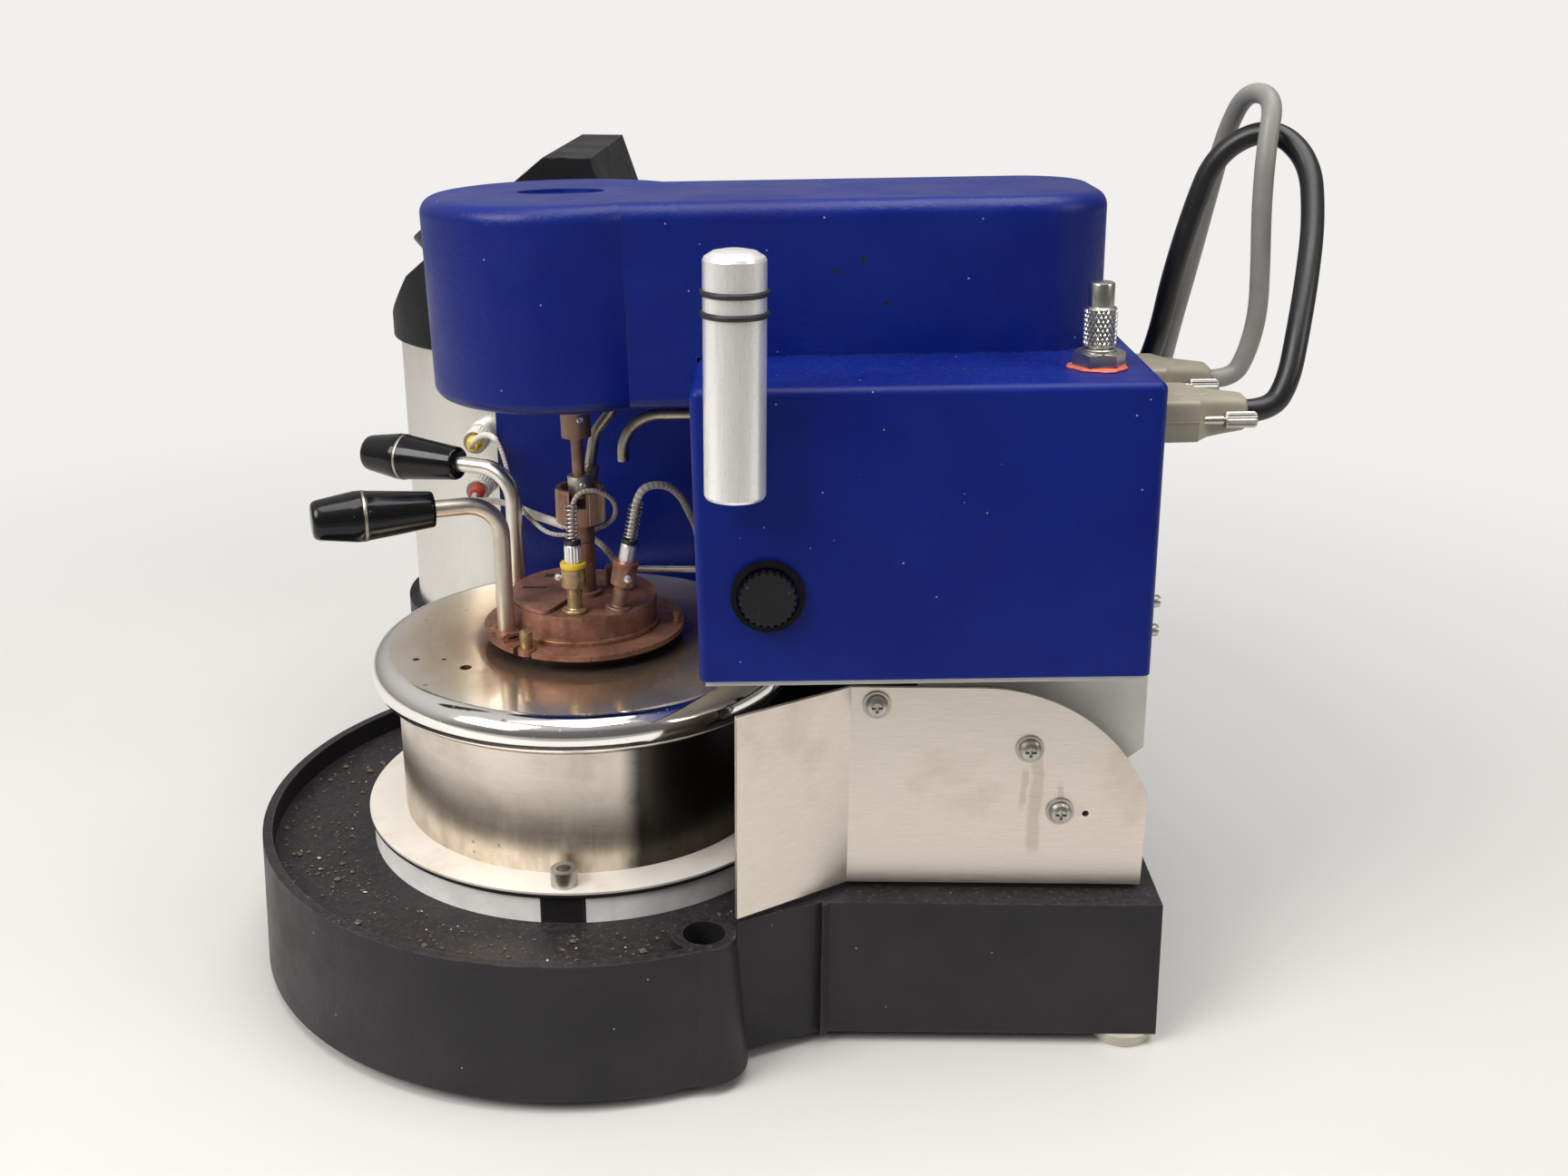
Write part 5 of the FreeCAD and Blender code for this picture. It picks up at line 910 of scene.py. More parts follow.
# Control points of the cables in millimetres from the cup's axis and the base's edge
YELLOW_ROUTE = [
    (-0.8, -21.3, 170.75), (-0.6, -21.5, 177.4), (-0.1, -21.3, 185.0), (3.3, -20.5, 188.6),
    (8.8, -18.5, 188.5), (14.0, -13.5, 183.8), (14.7, -5.5, 176.0), (10.7, 4.0, 168.2),
    (2.5, 11.0, 162.5), (-6.3, 14.0, 159.9), (-15.0, 16.5, 159.4), (-21.6, 24.8, 160.8),
    (-29.0, 30.6, 166.4), (-33.6, 37.0, 174.6), (-36.6, 43.2, 183.6), (-41.0, 50.4, 190.6),
    (-47.4, 56.8, 190.4), (-52.8, 61.4, 185.8), (-55.5, 66.6, 181.0), (-55.5, 72.0, 181.0)]
WHITE_ROUTE = [
    (13.95, 5.97, 146.4), (11.6, 7.76, 152.0), (7.0, 12.2, 156.2), (1.6, 16.8, 158.4),
    (-5.8, 21.2, 160.2), (-14.4, 26.4, 161.6), (-23.2, 33.0, 162.2), (-30.6, 40.0, 162.8),
    (-37.4, 46.6, 163.2), (-44.4, 52.6, 162.6), (-51.2, 58.8, 160.4), (-55.5, 66.0, 159.0),
    (-55.5, 72.0, 159.0)]
PROBE_ROUTE = [
    (20.94, -18.1, 170.4), (22.5, -18.3, 178.0), (23.7, -17.6, 185.5), (27.1, -16.0, 189.7),
    (34.6, -12.0, 189.0), (39.6, -5.0, 182.3), (42.1, 4.0, 172.6), (43.8, 15.0, 164.4),
    (44.0, 27.0, 155.4), (44.6, 40.0, 149.0), (45.8, 54.0, 145.2), (48.5, 69.4, 143.0),
    (48.5, 82.5, 143.0)]
BLACK_ROUTE = [
    (235.98, -60.5, 231.1), (245.0, -60.5, 231.4), (250.6, -58.0, 241.0), (254.1, -51.0, 255.9),
    (258.6, -40.0, 272.4), (263.7, -24.0, 291.1), (265.0, -8.0, 310.4), (253.1, 4.0, 321.0),
    (236.0, 10.0, 310.9), (230.0, 13.5, 288.6), (225.0, 15.4, 263.6), (223.1, 19.0, 242.6),
    (220.2, 28.0, 224.5), (217.4, 40.5, 209.0), (212.5, 50.5, 197.5), (201.0, 57.5, 188.0),
    (191.5, 64.5, 181.5), (186.0, 72.5, 178.0), (186.0, 82.5, 178.0)]
GREY_ROUTE = [
    (235.98, -10.0, 231.1), (244.8, -10.0, 231.4), (248.9, -11.0, 240.2), (251.0, -13.0, 255.3),
    (249.5, -15.0, 272.9), (247.2, -16.0, 294.4), (247.3, -14.0, 315.4), (250.4, -7.0, 331.5),
    (244.4, 8.0, 332.7), (241.2, 18.0, 318.7), (239.1, 25.0, 297.5), (235.4, 30.4, 268.0),
    (231.6, 33.0, 245.0), (229.0, 36.8, 222.4), (224.6, 42.4, 200.0), (214.5, 49.6, 179.4),
    (202.0, 56.0, 163.5), (191.0, 62.4, 153.4), (186.0, 71.5, 150.0), (186.0, 82.5, 150.0)]


SLEEVE_END = 0.52  # radius of a sleeve at its two ends, in diameters of the lead


def spline_points(route):
    """Points on the smooth NURBS line that takes the route's points as its control points."""
    curve = bpy.data.curves.new("route", "CURVE")
    curve.dimensions = "3D"
    curve.resolution_u = 14
    spline = curve.splines.new("NURBS")
    spline.points.add(len(route) - 1)
    for point, place in zip(spline.points, route):
        point.co = (*at(*place), 1.0)
    spline.order_u = 3
    spline.use_endpoint_u = True
    carrier = bpy.data.objects.new("route", curve)
    bpy.context.scene.collection.objects.link(carrier)
    bpy.context.view_layer.update()
    mesh = bpy.data.meshes.new_from_object(carrier.evaluated_get(bpy.context.evaluated_depsgraph_get()))
    points = np.zeros(len(mesh.vertices) * 3)
    mesh.vertices.foreach_get("co", points)
    bpy.data.objects.remove(carrier)
    bpy.data.curves.remove(curve)
    bpy.data.meshes.remove(mesh)
    return points.reshape(-1, 3)


def lay_cord(name, node, route, diameter, material, steps=16, sleeve=None):
    """Cable as a tube on its route's smooth line. A sleeve is (first share, last share, radius): a wider
    tube over that stretch of the line."""
    points = spline_points(route)
    bent = []
    if sleeve:
        first = int(len(points) * sleeve[0])
        last = int(len(points) * sleeve[1])
        swell = np.full(last - first, sleeve[2] * MM)
        swell[[0, -1]] = diameter * SLEEVE_END
        wider = add_mesh(name + "_sleeve", *pipe(points[first:last], swell, 20)[:2], 50.0)
        wider.data.materials.append(MATERIALS["sleeve"])
        bent.append(wider)
    verts, faces, uv = pipe(points, diameter / 2, steps)
    made = add_mesh(name, verts, faces, 60.0, uv)
    made.data.materials.append(MATERIALS[material])
    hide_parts(node)
    for part in [made, *bent]:
        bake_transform(part)
    return points


# Solved from the round edges of base, stove and lid
CAMERA_PLACE = (79.36, -592.86, 357.2)
CAMERA_DIP = 0.3461
CAMERA_ROLL = 0.0095


class FLASH_OT_camera(bpy.types.Operator):
    """Camera where the object was seen from"""
    bl_idname = "flash.camera"
    bl_label = "Camera"

    def execute(self, context):
        sizes = context.scene.flash_sizes
        data = bpy.data.cameras.new("Viewpoint")
        data.sensor_fit = "HORIZONTAL"
        data.sensor_width = 36.0
        data.lens = sizes.lens
        data.clip_start = 0.01
        data.clip_end = 50.0
        camera = bpy.data.objects.new("Viewpoint", data)
        context.scene.collection.objects.link(camera)
        turn = Matrix.Rotation(math.pi / 2 - CAMERA_DIP, 4, "X") @ Matrix.Rotation(CAMERA_ROLL, 4, "Z")
        camera.matrix_world = Matrix.Translation(Vector(at(*CAMERA_PLACE))) @ turn
        context.scene.camera = camera
        return {"FINISHED"}


class FLASH_OT_cords(bpy.types.Operator):
    """Five cables: three braided leads of the lid and two of the head"""
    bl_idname = "flash.cords"
    bl_label = "Cables"

    def execute(self, context):
        sizes = context.scene.flash_sizes
        lay_cord("lead_yellow", "yellow_cable", YELLOW_ROUTE, sizes.yellow_cable, "braid_yellow",
            sleeve=(0.80, 0.93, 1.25))
        lay_cord("lead_white", "white_cable", WHITE_ROUTE, sizes.white_cable, "braid_white",
            sleeve=(0.36, 0.63, 1.75))
        lay_cord("lead_probe", "probe_cable", PROBE_ROUTE, sizes.probe_cable, "braid_probe")
        lay_cord("cable_black", "black_cable", BLACK_ROUTE, sizes.black_cable, "cable_black",
            24)
        lay_cord("cable_grey", "grey_cable", GREY_ROUTE, sizes.grey_cable, "cable_grey",
            24)
        return {"FINISHED"}


FLOOR_HALF = 6.0


class FLASH_OT_stage(bpy.types.Operator):
    """Pale floor, soft lamps and a pale surround"""
    bl_idname = "flash.stage"
    bl_label = "Stage"

    def execute(self, context):
        low = float(cad_box[0].z)
        verts = [(x * FLOOR_HALF, y * FLOOR_HALF, low) for x, y in ((-1, -1), (1, -1), (1, 1), (-1, 1))]
        floor = add_mesh("floor", verts, [(0, 1, 2, 3)])
        floor.data.materials.append(floor_finish())
        # Lamps: place, size, watts, colour
        lamps = (("Window Left", (-1.3, -1.1, 1.5), (1.1, 1.1), 35.0, (1.0, 0.98, 0.95)),
            ("Ceiling", (0.25, -0.25, 2.1), (1.9, 1.4), 37.0, (1.0, 0.99, 0.97)),
            ("Room Right", (1.7, -0.9, 1.1), (0.8, 0.8), 8.0, (1.0, 0.96, 0.90)))
        for name, place, size, power, colour in lamps:
            light = bpy.data.lights.new(name, "AREA")
            light.shape = "RECTANGLE"
            light.size, light.size_y = size
            light.energy = power
            light.color = colour
            lamp = bpy.data.objects.new(name, light)
            context.scene.collection.objects.link(lamp)
            lamp.location = place
            aim = Vector((0, 0, 0.12)) - Vector(place)
            lamp.rotation_euler = aim.to_track_quat("-Z", "Y").to_euler()
        world = bpy.data.worlds.new("Surround")
        context.scene.world = world
        world.use_nodes = True
        t = Tree(world.node_tree)
        sky = world.node_tree.nodes["Background"]
        way = t.add("TexCoord").outputs["Generated"]
        parts = t.split(way)
        rise = t.span(parts["Z"], -0.2, 0.7)
        side = t.span(parts["X"], 0.9, -0.6, 0.35, 1.0)
        tone = t.mix(rise, rgb(0.30, 0.29, 0.28), rgb(0.78, 0.77, 0.76))
        tone = t.mix(side, rgb(0.12, 0.12, 0.13), tone)
        behind = t.span(parts["Y"], -0.15, -0.75, 1.0, 0.15)
        above = t.span(parts["Z"], 0.40, 0.80)
        tone = t.mix(t.math("MAXIMUM", behind, above), rgb(0.13, 0.13, 0.13), tone)
        seen = t.add("LightPath")
        strength = t.span(seen.outputs["Is Camera Ray"], 0.0, 1.0, 0.75, 1.0)
        tone = t.mix(seen.outputs["Is Camera Ray"], tone, SURROUND)
        t.tree.links.new(tone, sky.inputs["Color"])
        t.tree.links.new(strength, sky.inputs["Strength"])
        context.scene.view_settings.view_transform = "Standard"
        return {"FINISHED"}


class FLASH_OT_finishes(bpy.types.Operator):
    """Materials of the solid parts"""
    bl_idname = "flash.finishes"
    bl_label = "Finishes"

    def execute(self, context):
        for finish, nodes in WORN_BY.items():
            for node in nodes.split():
                dress(node, MATERIALS[finish])
        return {"FINISHED"}


GRIP_SPLAY = math.radians(21.5)
GRIP_START = 24.5  # from the rod's bend to the grip's rear end


def rod_grip(name, node, body, foot, side):
    """Turned grip on its rod: slim rear cone, thin metal ring at the widest place, blunt nose."""
    way = np.array([-math.cos(GRIP_SPLAY), side * math.sin(GRIP_SPLAY), 0])
    origin = at(*foot) + way * GRIP_START * MM
    rear = [(3.45, 1.4), (3.5, 0.15), (5.6, 0.0), (6.35, 0.25), (6.75, 0.9), (6.85, 1.6)]
    rear += rows(7.0, 3.5, 9.15, 24.2, 8) + [(9.3, 24.7), (9.25, 24.95), (8.9, 25.05)]
    nose = [(8.9, 26.0), (9.3, 26.1), (9.42, 26.5)] + rows(9.4, 28.5, 7.6, 40.3, 7)
    nose += [(7.35, 41.8), (6.9, 43.0), (6.1, 43.7), (4.8, 44.0), (0.05, 44.1)]
    piece(name, [lathe(rear + nose, origin, way, 72)], body, "grip", "grip_black", 32.0, [node])
    band = [(8.95, 24.98), (9.38, 25.02), (9.46, 25.2), (9.46, 25.9), (9.38, 26.06), (8.95, 26.1)]
    piece(name + "_ring", [lathe(band, origin, way, 72)], body, "band", "post_brass", 40.0)


class FLASH_OT_grips(bpy.types.Operator):
    """Two glossy grips with their rings"""
    bl_idname = "flash.grips"
    bl_label = "Grips"

    def execute(self, context):
        rod_grip("grip_of_cup", "cup_grip", "cup", (-27.67, -20.10, 183.6), -1)
        rod_grip("grip_of_lid", "lid_grip", "lid", (-29.93, 21.75, 184.6), 1)
        return {"FINISHED"}


# Heights and reaches of the sensors in millimetres
SENSOR_FOOT = 140.6  # the sockets stand here on the lid
SPRING_LOW = 29.2  # from here on, along the sensor's own axis
SPRING_RISE = 14.6
SPRING_TURNS = 9.4
SPRING_WIRE = 0.30
PIN_RISE = 14.6
PIN_REACH = 4.3


class FLASH_OT_sensors(bpy.types.Operator):
    """Sockets, ribbed sleeves, black rings and loose springs of the two sensors"""
    bl_idname = "flash.sensors"
    bl_label = "Sensors"

    def execute(self, context):
        # Name, place, lean, depth of the tip, lower end of the socket, coil radius, finishes, count and
        # depth of the ribs, way of the pin
        sensors = (
            ("yellow", (-0.8, -21.3), 0.0, 18.0, -0.05, 2.05, "brass", "yellow", (16, 0.16), (-0.95, -0.3)),
            ("red", (15.3, -18.1), 10.7, 42.0, -0.9, 2.4, "copper", "red_ring", (7, 0.1), (0.35, -0.94)))
        for name, place, lean, dip, low, coil_r, metal, mark, ribs, pin in sensors:
            axis = np.array([math.sin(math.radians(lean)), 0.0, math.cos(math.radians(lean))])
            foot = at(*place, SENSOR_FOOT)
            socket = [(1.6, low), (4.6, low), (4.88, low + 0.3), (4.88, 1.25), (4.6, 1.6), (3.0, 1.75),
                (2.72, 2.1), (2.68, 6.4), (2.9, 6.6), (2.9, 8.9), (2.7, 9.1), (2.72, 10.2), (4.3, 10.45),
                (4.68, 10.8), (4.68, 18.2), (4.5, 18.45), (4.5, 19.9), (3.2, 20.0), (3.16, 15.0),
                (1.6, 14.8)]
            piece(name + "_socket", [lathe(socket, foot, axis, 64)], "lid", metal, "post_brass", 30.0,
                ["sensor_sockets"])
            band = [(4.5, 18.3), (4.86, 18.4), (4.95, 18.7), (4.95, 19.8), (4.8, 20.1), (3.3, 20.15),
                (3.3, 19.6)]
            piece(name + "_mark", [lathe(band, foot, axis, 64)], "lid", mark, "post_brass")
            sleeve = [(0.6, -dip), (1.45, -dip + 0.8), (1.5, -dip + 1.5), (1.5, 15.2), (3.05, 15.4)]
            sleeve += rows(3.05, 20.2, 3.05, 26.9, 14) + [(2.8, 27.3), (1.5, 27.5)]
            ripple = flutes(*ribs, 20.4, 26.6)
            piece(name + "_sleeve", [lathe(sleeve, foot, axis, 96, ripple)], "lid", "bright", "screw_steel",
                30.0, ["sensor_probes"])
            collar = [(1.5, 27.3), (3.1, 27.35), (3.3, 27.7), (3.0, 28.15), (3.25, 28.5), (2.9, 28.95),
                (1.2, 29.0)]
            piece(name + "_collar", [lathe(collar, foot, axis, 40)], "lid", "rubber", "screw_steel", 25.0)
            # Loose spring: the coils spread upwards and waver a little
            turn = np.linspace(0, TAU * SPRING_TURNS, 234)
            u, v, w = frame_of(axis)
            rise = SPRING_LOW + SPRING_RISE * (turn / turn[-1]) ** 1.12
            wide = coil_r + 0.12 * np.sin(turn * 0.31) + 0.12 * (turn / turn[-1])
            spokes = np.cos(turn)[:, None] * u + np.sin(turn)[:, None] * v
            line = foot + (wide[:, None] * spokes + rise[:, None] * w) * MM
            piece(name + "_spring", [pipe(line, SPRING_WIRE * MM, 10)[:2]], "lid", "spring", "spring_steel",
                60.0, ["strain_springs"])
            side = np.array([*pin, 0.0])
            out = foot + axis * PIN_RISE * MM + side * PIN_REACH * MM
            knob = [(0.9, 0), (0.9, 0.8), (1.35, 1.0), (1.6, 1.7), (1.4, 2.4), (0.8, 2.8), (0.05, 2.9)]
            piece(name + "_pin", [lathe(knob, out, side, 24)], "lid", "bright", "screw_steel")
        return {"FINISHED"}


COLLAR_R = 9.3
RIB_R = 9.66  # a rib's outer edge
RIB_HALF = 0.19
COLLAR_Z = (171.1, 183.2)  # its ribs' lower and upper end
SPINDLE_X = 3.0


class FLASH_OT_stirring(bpy.types.Operator):
    """Ribs of the stirrer's collar, its pale sleeve and the small set screws"""
    bl_idname = "flash.stirring"
    bl_label = "Stirrer details"

    def execute(self, context):
        # None over the claw slots, on the near and the far side
        turns = [a for a in round_angles(76) if abs(math.sin(a)) < 0.90]
        ribs = []
        for a in turns:
            u = np.array([math.cos(a), math.sin(a), 0])
            v = np.array([-math.sin(a), math.cos(a), 0])
            bar = np.array([COLLAR_R * u - RIB_HALF * v, COLLAR_R * u + RIB_HALF * v, RIB_R * u])
            points = np.concatenate([bar + [0, 0, z] for z in COLLAR_Z])
            ribs.append((laid(points), [[2, 1, 0], [3, 4, 5], [0, 1, 4, 3], [1, 2, 5, 4], [2, 0, 3, 5]]))
        piece("collar_ribs", ribs, "stirrer_body", "rib", "stirrer_metal", 20.0)
        sleeve = [(2.42, 186.2), (4.3, 186.3), (4.52, 186.6), (4.52, 192.6), (4.2, 193.1), (3.6, 193.3),
            (2.43, 193.35)]
        origin = on_head(SPINDLE_X, 0, 0)
        piece("spindle_sleeve", [lathe(sleeve, origin, HEAD_UP, 56)], "spindle", "sleeve_metal",
            "stirrer_metal")
        way = np.array([0.42, -0.91, 0.0])
        for name, height, reach in (("sleeve_screw", 189.8, 4.35), ("coupling_screw", 216.0, 5.55)):
            place = on_head(SPINDLE_X + way[0] * reach, way[1] * reach, height)
            piece(name, [socket_screw(place, way, 1.35, 0.75)], "spindle", "bright", "screw_steel")
        return {"FINISHED"}


# The lid's bead and gas pipe and the cup's latch post in millimetres from the cup's axis
BEAD_R = 29.72
BEAD_Z = 130.72
LATCH_R = 36.6
LATCH_TURN = math.radians(-120.0)
PIPE_Y = 11.2
PIPE_Z = 147.0


class FLASH_OT_lid(bpy.types.Operator):
    """Golden bead round the lid, the shutter's openings as dark marks of painted shade, the latch post and
    the gas pipe
    """
    bl_idname = "flash.lid"
    bl_label = "Lid details"

    def execute(self, context):
        a = np.linspace(0, TAU, 145)
        circle = laid(np.stack([BEAD_R * np.cos(a), BEAD_R * np.sin(a), np.full(len(a), BEAD_Z)], axis=1))
        piece("lid_bead", [pipe(circle, 0.5 * MM, 12)[:2]], "lid", "rim", "lid_brass")
        sleeve = [(2.31, 129.7), (2.42, 129.9), (2.42, 136.0), (2.1, 136.42), (0.05, 136.5)]
        foot = at(LATCH_R * math.cos(LATCH_TURN), LATCH_R * math.sin(LATCH_TURN), 0)
        piece("latch_post", [lathe(sleeve, foot, (0, 0, 1), 40)], "cup", "brass", "post_brass")
        # The shutter's openings: dark bricks of painted shade on its top
        for name, low, high in (("slot", (-24.6, -0.1, 141.0), (-14.6, 2.3, 142.34)),
                ("port", (-17.5, 13.6, 141.0), (-9.7, 17.6, 142.34))):
            piece("shutter_" + name, [brick(low, high, 0.1)], "shutter", "sooty", "shutter_metal")
        ends = laid([(9.9, PIPE_Y, PIPE_Z), (46.2, PIPE_Y, PIPE_Z)])
        line = ends[0] + np.linspace(0, 1, 12)[:, None] * (ends[1] - ends[0])
        piece("gas_pipe", [pipe(line, 1.36 * MM, 20)[:2]], "lid", "rod", "lid_brass", 60.0)
        return {"FINISHED"}


PLUNGER = (187.8, -70.0)  # its axis on the level head
KNURL_LOW = 253.65
KNURL_R = 4.95
KNURL_DEPTH = 0.6


class FLASH_OT_plunger(bpy.types.Operator):
    """Knurled index plunger with its nut and its red sealing ring"""
    bl_idname = "flash.plunger"
    bl_label = "Index plunger"

    def execute(self, context):
        origin = on_head(*PLUNGER, 0)
        low = KNURL_LOW
        profile = [(3.5, 231.0), (3.5, low - 0.1), (4.6, low), (KNURL_R, low + 0.5)]
        profile += rows(KNURL_R, low + 0.8, KNURL_R, low + 12.9, 80)
        profile += [(KNURL_R, low + 13.1), (4.6, low + 13.4), (4.2, low + 13.5), (4.2, low + 20.6),
            (4.0, low + 21.1), (3.4, low + 21.4), (0.05, low + 21.5)]
        knurl = diamonds(20, 2.9, KNURL_DEPTH, low + 0.9, low + 12.8)
        made = piece("knurled_plunger", [lathe(profile, origin, HEAD_UP, 208, knurl)], "plunger", "knurl",
            "nut_steel", 30.0, ["index_plunger"])
        # The Cut attribute: how far each point stands out of its groove, 1 away from the knurl
        places = np.zeros(len(made.data.vertices) * 3)
        made.data.vertices.foreach_get("co", places)
        arm = places.reshape(-1, 3) - origin
        way = HEAD_UP / np.linalg.norm(HEAD_UP)
        rise = arm @ way
        out = np.linalg.norm(arm - rise[:, None] * way, axis=1) / MM
        rise = rise / MM - low
        cut = np.where((rise > 0.85) & (rise < 12.85), (out - KNURL_R) / KNURL_DEPTH, 1.0)
        made.data.attributes.new("Cut", "FLOAT", "POINT").data.foreach_set("value", cut)
        neck = lathe([(5.9, 252.3), (5.9, 253.1), (5.5, 253.4), (3.7, 253.4)], origin, HEAD_UP, 48)
        nut = hex_nut(PLUNGER, 15.4, 247.7, 252.4)
        piece("hex_nut", [nut, neck], "head", "nut", "nut_steel", 30.0, ["plunger_nut"])

        def uneven(a, h):
            return 0.5 * np.sin(3 * a + 0.6) + 0.35 * np.sin(7 * a) + 0.18 * np.sin(17 * a + 1)
        seal = [(8.6, 246.75), (9.6, 246.8), (9.9, 247.2), (9.4, 247.75), (8.5, 247.9)]
        piece("red_seal", [lathe(seal, origin, HEAD_UP, 120, uneven)], "head", "washer", "nut_steel", 50.0)
        return {"FINISHED"}


HOOD_Z = 228.8
SCREW_OFF = 12.15  # from a hood's middle to its thumbscrews


class FLASH_OT_connectors(bpy.types.Operator):
    """Two tapered connector hoods with their knurled thumbscrews"""
    bl_idname = "flash.connectors"
    bl_label = "Connectors"

    def execute(self, context):
        for name, y in (("near", -60.5), ("far", -10.0)):
            z = HOOD_Z
            body = loft([(206.25, y, z, 15.0, 7.1, 9), (206.6, y, z, 15.5, 7.6, 9),
                (221.3, y, z, 15.3, 7.5, 9), (222.0, y, z, 14.7, 7.3, 8), (225.5, y, z, 11.3, 6.8, 7),
                (231.6, y, z, 8.3, 6.4, 6), (236.6, y, z, 7.0, 6.0, 5), (238.9, y, z, 6.5, 5.8, 4),
                (239.9, y, z, 5.2, 4.9, 3)])
            lip = loft([(206.22, y, z, 16.7, 6.2, 8), (207.3, y, z, 16.8, 6.3, 8),
                (207.5, y, z, 16.5, 6.0, 8)])
            seam = loft([(210.5, y, z, 15.62, 0.35, 8), (221.0, y, z, 15.55, 0.35, 8)])
            rib = loft([(212.0, y, z + 7.45, 6.5, 0.5, 5), (226.0, y, z + 6.75, 5.0, 0.55, 5)])
            piece("hood_" + name, [body, lip, seam, rib], "head", "hood", "hood_pale", 28.0,
                ["connector_hoods"])
            for side in (-1, 1):
                yy = y + side * SCREW_OFF
                start = on_head(221.4, yy, z)
                profile = [(1.1, -1.5), (1.45, 0.0), (1.45, 8.6), (2.3, 8.8), (2.62, 9.2)]
                profile += rows(2.62, 9.5, 2.62, 18.8, 22) + [(2.5, 19.3), (2.2, 19.6), (0.4, 19.6),
                    (0.3, 18.9), (0.05, 18.9)]
                ribs = flutes(18, 0.14, 9.4, 18.9)
                piece("thumbscrew_%s_%s" % (name, "left" if side < 0 else "right"),
                    [lathe(profile, start, HEAD_BACK, 108, ribs)], "head", "nut", "nut_steel", 30.0,
                    ["hood_thumbscrews"])
        return {"FINISHED"}


class FLASH_OT_plugs(bpy.types.Operator):
    """Pale plugs in the tower's sockets, each with a coloured end"""
    bl_idname = "flash.plugs"
    bl_label = "Plugs"

    def execute(self, context):
        for name, z in (("yellow", 181.0), ("red", 159.0)):
            tip = at(-55.5, 72.0, z)
            back = (0.0, 1.0, 0.0)
            boot = [(1.2, 0.0), (2.3, 0.1), (2.55, 0.5), (3.35, 5.6), (3.35, 6.6)]
            piece("plug_end_" + name, [lathe(boot, tip, back, 40)], "base_unit", name, "plug_pale")
            body = [(3.3, 6.9), (3.4, 6.1), (4.6, 5.9), (5.15, 6.2), (5.2, 7.0)]
            body += rows(5.2, 7.4, 5.2, 14.9, 12) + [(5.2, 15.4), (4.8, 15.95)]
            ribs = flutes(22, 0.12, 8.6, 14.4)
            piece("plug_body_" + name, [lathe(body, tip, back, 132, ribs)], "base_unit", "plug", "plug_pale",
                30.0, ["sensor_plugs"])
            rim = [(3.5, 5.72), (4.7, 5.7), (4.9, 5.95), (3.5, 5.97)]
            piece("plug_rim_" + name, [lathe(rim, tip, back, 48)], "base_unit", "band", "plug_pale")
        return {"FINISHED"}


TRAY_INNER = 96.5  # where the tray's gutter starts, from the cup's axis
TRAY_WIDTH = 27.0
TRAY_FLOOR = 44.0


class FLASH_OT_grit(bpy.types.Operator):
    """Grit in the tray: small eight-sided grains, thicker near the wall and the skirt"""
    bl_idname = "flash.grit"
    bl_label = "Grit"

    def execute(self, context):
        count = context.scene.flash_sizes.grit_count
        dice = np.random.default_rng(11)
        turn = dice.uniform(0, TAU, count * 4)
        share = dice.beta(0.7, 0.7, count * 4)
        radius = TRAY_INNER + share * TRAY_WIDTH
        x = radius * np.cos(turn)
        y = radius * np.sin(turn)
        # Clear of the block, the tower, the screw pillar and the seam
        block = (x < 60) & (y < 60)
        tower = np.hypot(x + 36.5, y - 156) > 78
        pillar = np.hypot(x - 52.4, y + 107.7) > 18
        clear = block & tower & pillar & (np.abs(x) > 0.5)
        x, y = x[clear][:count], y[clear][:count]
        size = dice.gamma(2.0, 0.19, len(x)) + 0.16
        spin = dice.uniform(0, math.pi, len(x))
        shape = np.array([(1, 0, 0), (0, 1, 0), (-1, 0, 0), (0, -1, 0), (0.1, 0.1, 0.6), (0, 0, -0.4)])
        c = np.cos(spin)[:, None] * size[:, None]
        s = np.sin(spin)[:, None] * size[:, None]
        long = dice.uniform(0.7, 1.4, len(x))[:, None]
        px = x[:, None] + c * shape[:, 0] * long - s * shape[:, 1]
        py = y[:, None] + s * shape[:, 0] * long + c * shape[:, 1]
        pz = TRAY_FLOOR + size[:, None] * (shape[:, 2] + 0.38)
        verts = laid(np.stack([px, py, pz], axis=-1).reshape(-1, 3))
        tile = np.array([(0, 1, 4), (1, 2, 4), (2, 3, 4), (3, 0, 4), (1, 0, 5), (2, 1, 5), (3, 2, 5),
            (0, 3, 5)])
        faces = (tile[None] + np.arange(len(x))[:, None, None] * 6).reshape(-1, 3).tolist()
        grains = add_mesh("tray_grit", verts, faces, 10.0)
        grains.data.materials.append(MATERIALS["grit"])
        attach(grains, "base_unit")
        return {"FINISHED"}


class FLASH_OT_holes(bpy.types.Operator):
    """Three small holes in the arm, each a dark disc of painted shade, and two bolts in the head's rear face
    """
    bl_idname = "flash.holes"
    bl_label = "Holes and bolts"

    def execute(self, context):
        near = (0.0, -1.0, 0.0)
        # Each hole is a flat dark disc: painted shade
        rim = [(1.1, -0.2), (1.15, 0.02), (0.95, 0.10), (0.8, 0.03), (0.1, 0.02)]
        for name, x, z in (("a", 96.4, 274.7), ("b", 105.6, 278.7), ("c", 113.4, 263.7)):
            piece("arm_hole_" + name, [lathe(rim, at(x, -44.0, z), near, 24)], "head", "dark", "head_blue",
                50.0)
        bolts = [socket_screw(on_head(212.3, -62.0, z), HEAD_BACK, 2.3, 3.0) for z in (160.5, 149.5)]
        piece("rear_bolts", bolts, "head", "nut", "screw_steel")
        return {"FINISHED"}


def corners_of(node):
    """Low and high corner of a node's box, in millimetres from the cup's axis."""
    low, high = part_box(node)
    return (np.array(low) - CUP) / MM, (np.array(high) - CUP) / MM


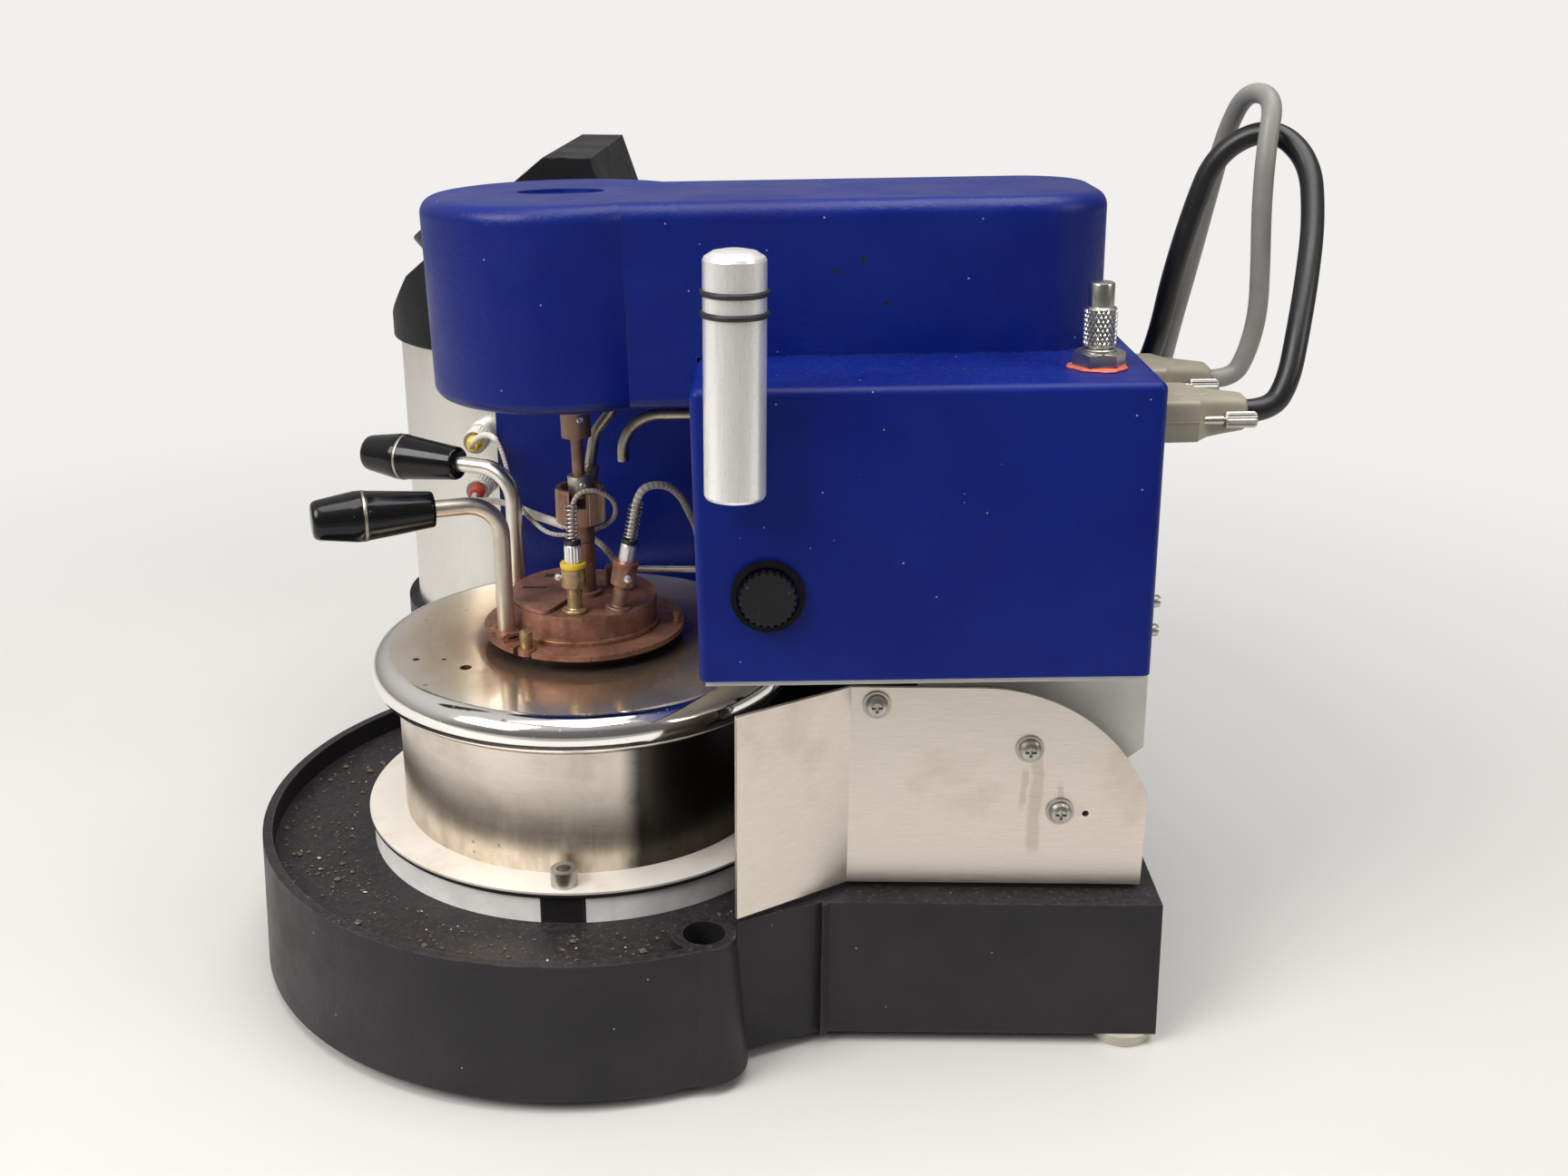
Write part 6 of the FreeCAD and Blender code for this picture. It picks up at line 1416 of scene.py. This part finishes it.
class FLASH_OT_housing(bpy.types.Operator):
    """Vent slots and screws of the electronics housing"""
    bl_idname = "flash.housing"
    bl_label = "Housing details"

    def execute(self, context):
        low, high = corners_of("housing_cover")
        # Two rows of upright slots in the far wall, counted from its rear upper corner
        slots = []
        for x in np.arange(high[0] - 92, high[0] - 24, 6.2):
            for z in (high[2] - 46, high[2] - 80):
                slots.append(brick((x - 1.1, high[1] - 0.6, z), (x + 1.1, high[1] + 0.05, z + 26), 0.3))
        piece("housing_vents", slots, "base_unit", "cap", "head_blue", 20.0)
        screws = []
        for x in (high[0] - 12, (low[0] + high[0]) / 2, low[0] + 62):
            screws.append(socket_screw(at(x, high[1] - 0.05, low[2] + 9), (0, 1, 0), 2.9, 1.7, 32))
        back_low, back_high = corners_of("housing_rear_panel")
        for y in (back_low[1] + 9, back_high[1] - 9):
            for z in (back_low[2] + 9, back_high[2] - 9):
                screws.append(socket_screw(at(back_high[0] - 0.05, y, z), (1, 0, 0), 2.9, 1.7, 32))
        piece("housing_screws", screws, "base_unit", "nut", "screw_steel", 30.0)
        return {"FINISHED"}


CLASSES = [FLASH_PG_colours, FLASH_PG_sizes, FLASH_OT_camera, FLASH_OT_cords, FLASH_OT_stage,
    FLASH_OT_finishes, FLASH_OT_grips, FLASH_OT_sensors, FLASH_OT_stirring, FLASH_OT_lid, FLASH_OT_plunger,
    FLASH_OT_connectors, FLASH_OT_plugs, FLASH_OT_grit, FLASH_OT_holes, FLASH_OT_housing]
STEPS = ["camera", "cords", "stage", "finishes", "grips", "sensors", "stirring", "lid", "plunger",
    "connectors", "plugs", "grit", "holes", "housing"]


class FLASH_PT_panel(bpy.types.Panel):
    """Lists the steps"""
    bl_idname = "FLASH_PT_panel"
    bl_label = "Flash Point Tester"
    bl_space_type = "VIEW_3D"
    bl_region_type = "UI"
    bl_category = "Tester"

    def draw(self, context):
        for step in STEPS:
            self.layout.operator("flash." + step)


def register():
    """Adds the classes and the settings."""
    for cls in [*CLASSES, FLASH_PT_panel]:
        bpy.utils.register_class(cls)
    bpy.types.Scene.flash_colours = bpy.props.PointerProperty(type=FLASH_PG_colours)
    bpy.types.Scene.flash_sizes = bpy.props.PointerProperty(type=FLASH_PG_sizes)


def unregister():
    """Takes them away."""
    del bpy.types.Scene.flash_sizes
    del bpy.types.Scene.flash_colours
    for cls in reversed([*CLASSES, FLASH_PT_panel]):
        bpy.utils.unregister_class(cls)


def main():
    """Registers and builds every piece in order."""
    register()
    make_groups()
    make_materials(bpy.context.scene.flash_colours)
    for step in STEPS:
        getattr(bpy.ops.flash, step)()


if __name__ == "__main__":
    main()
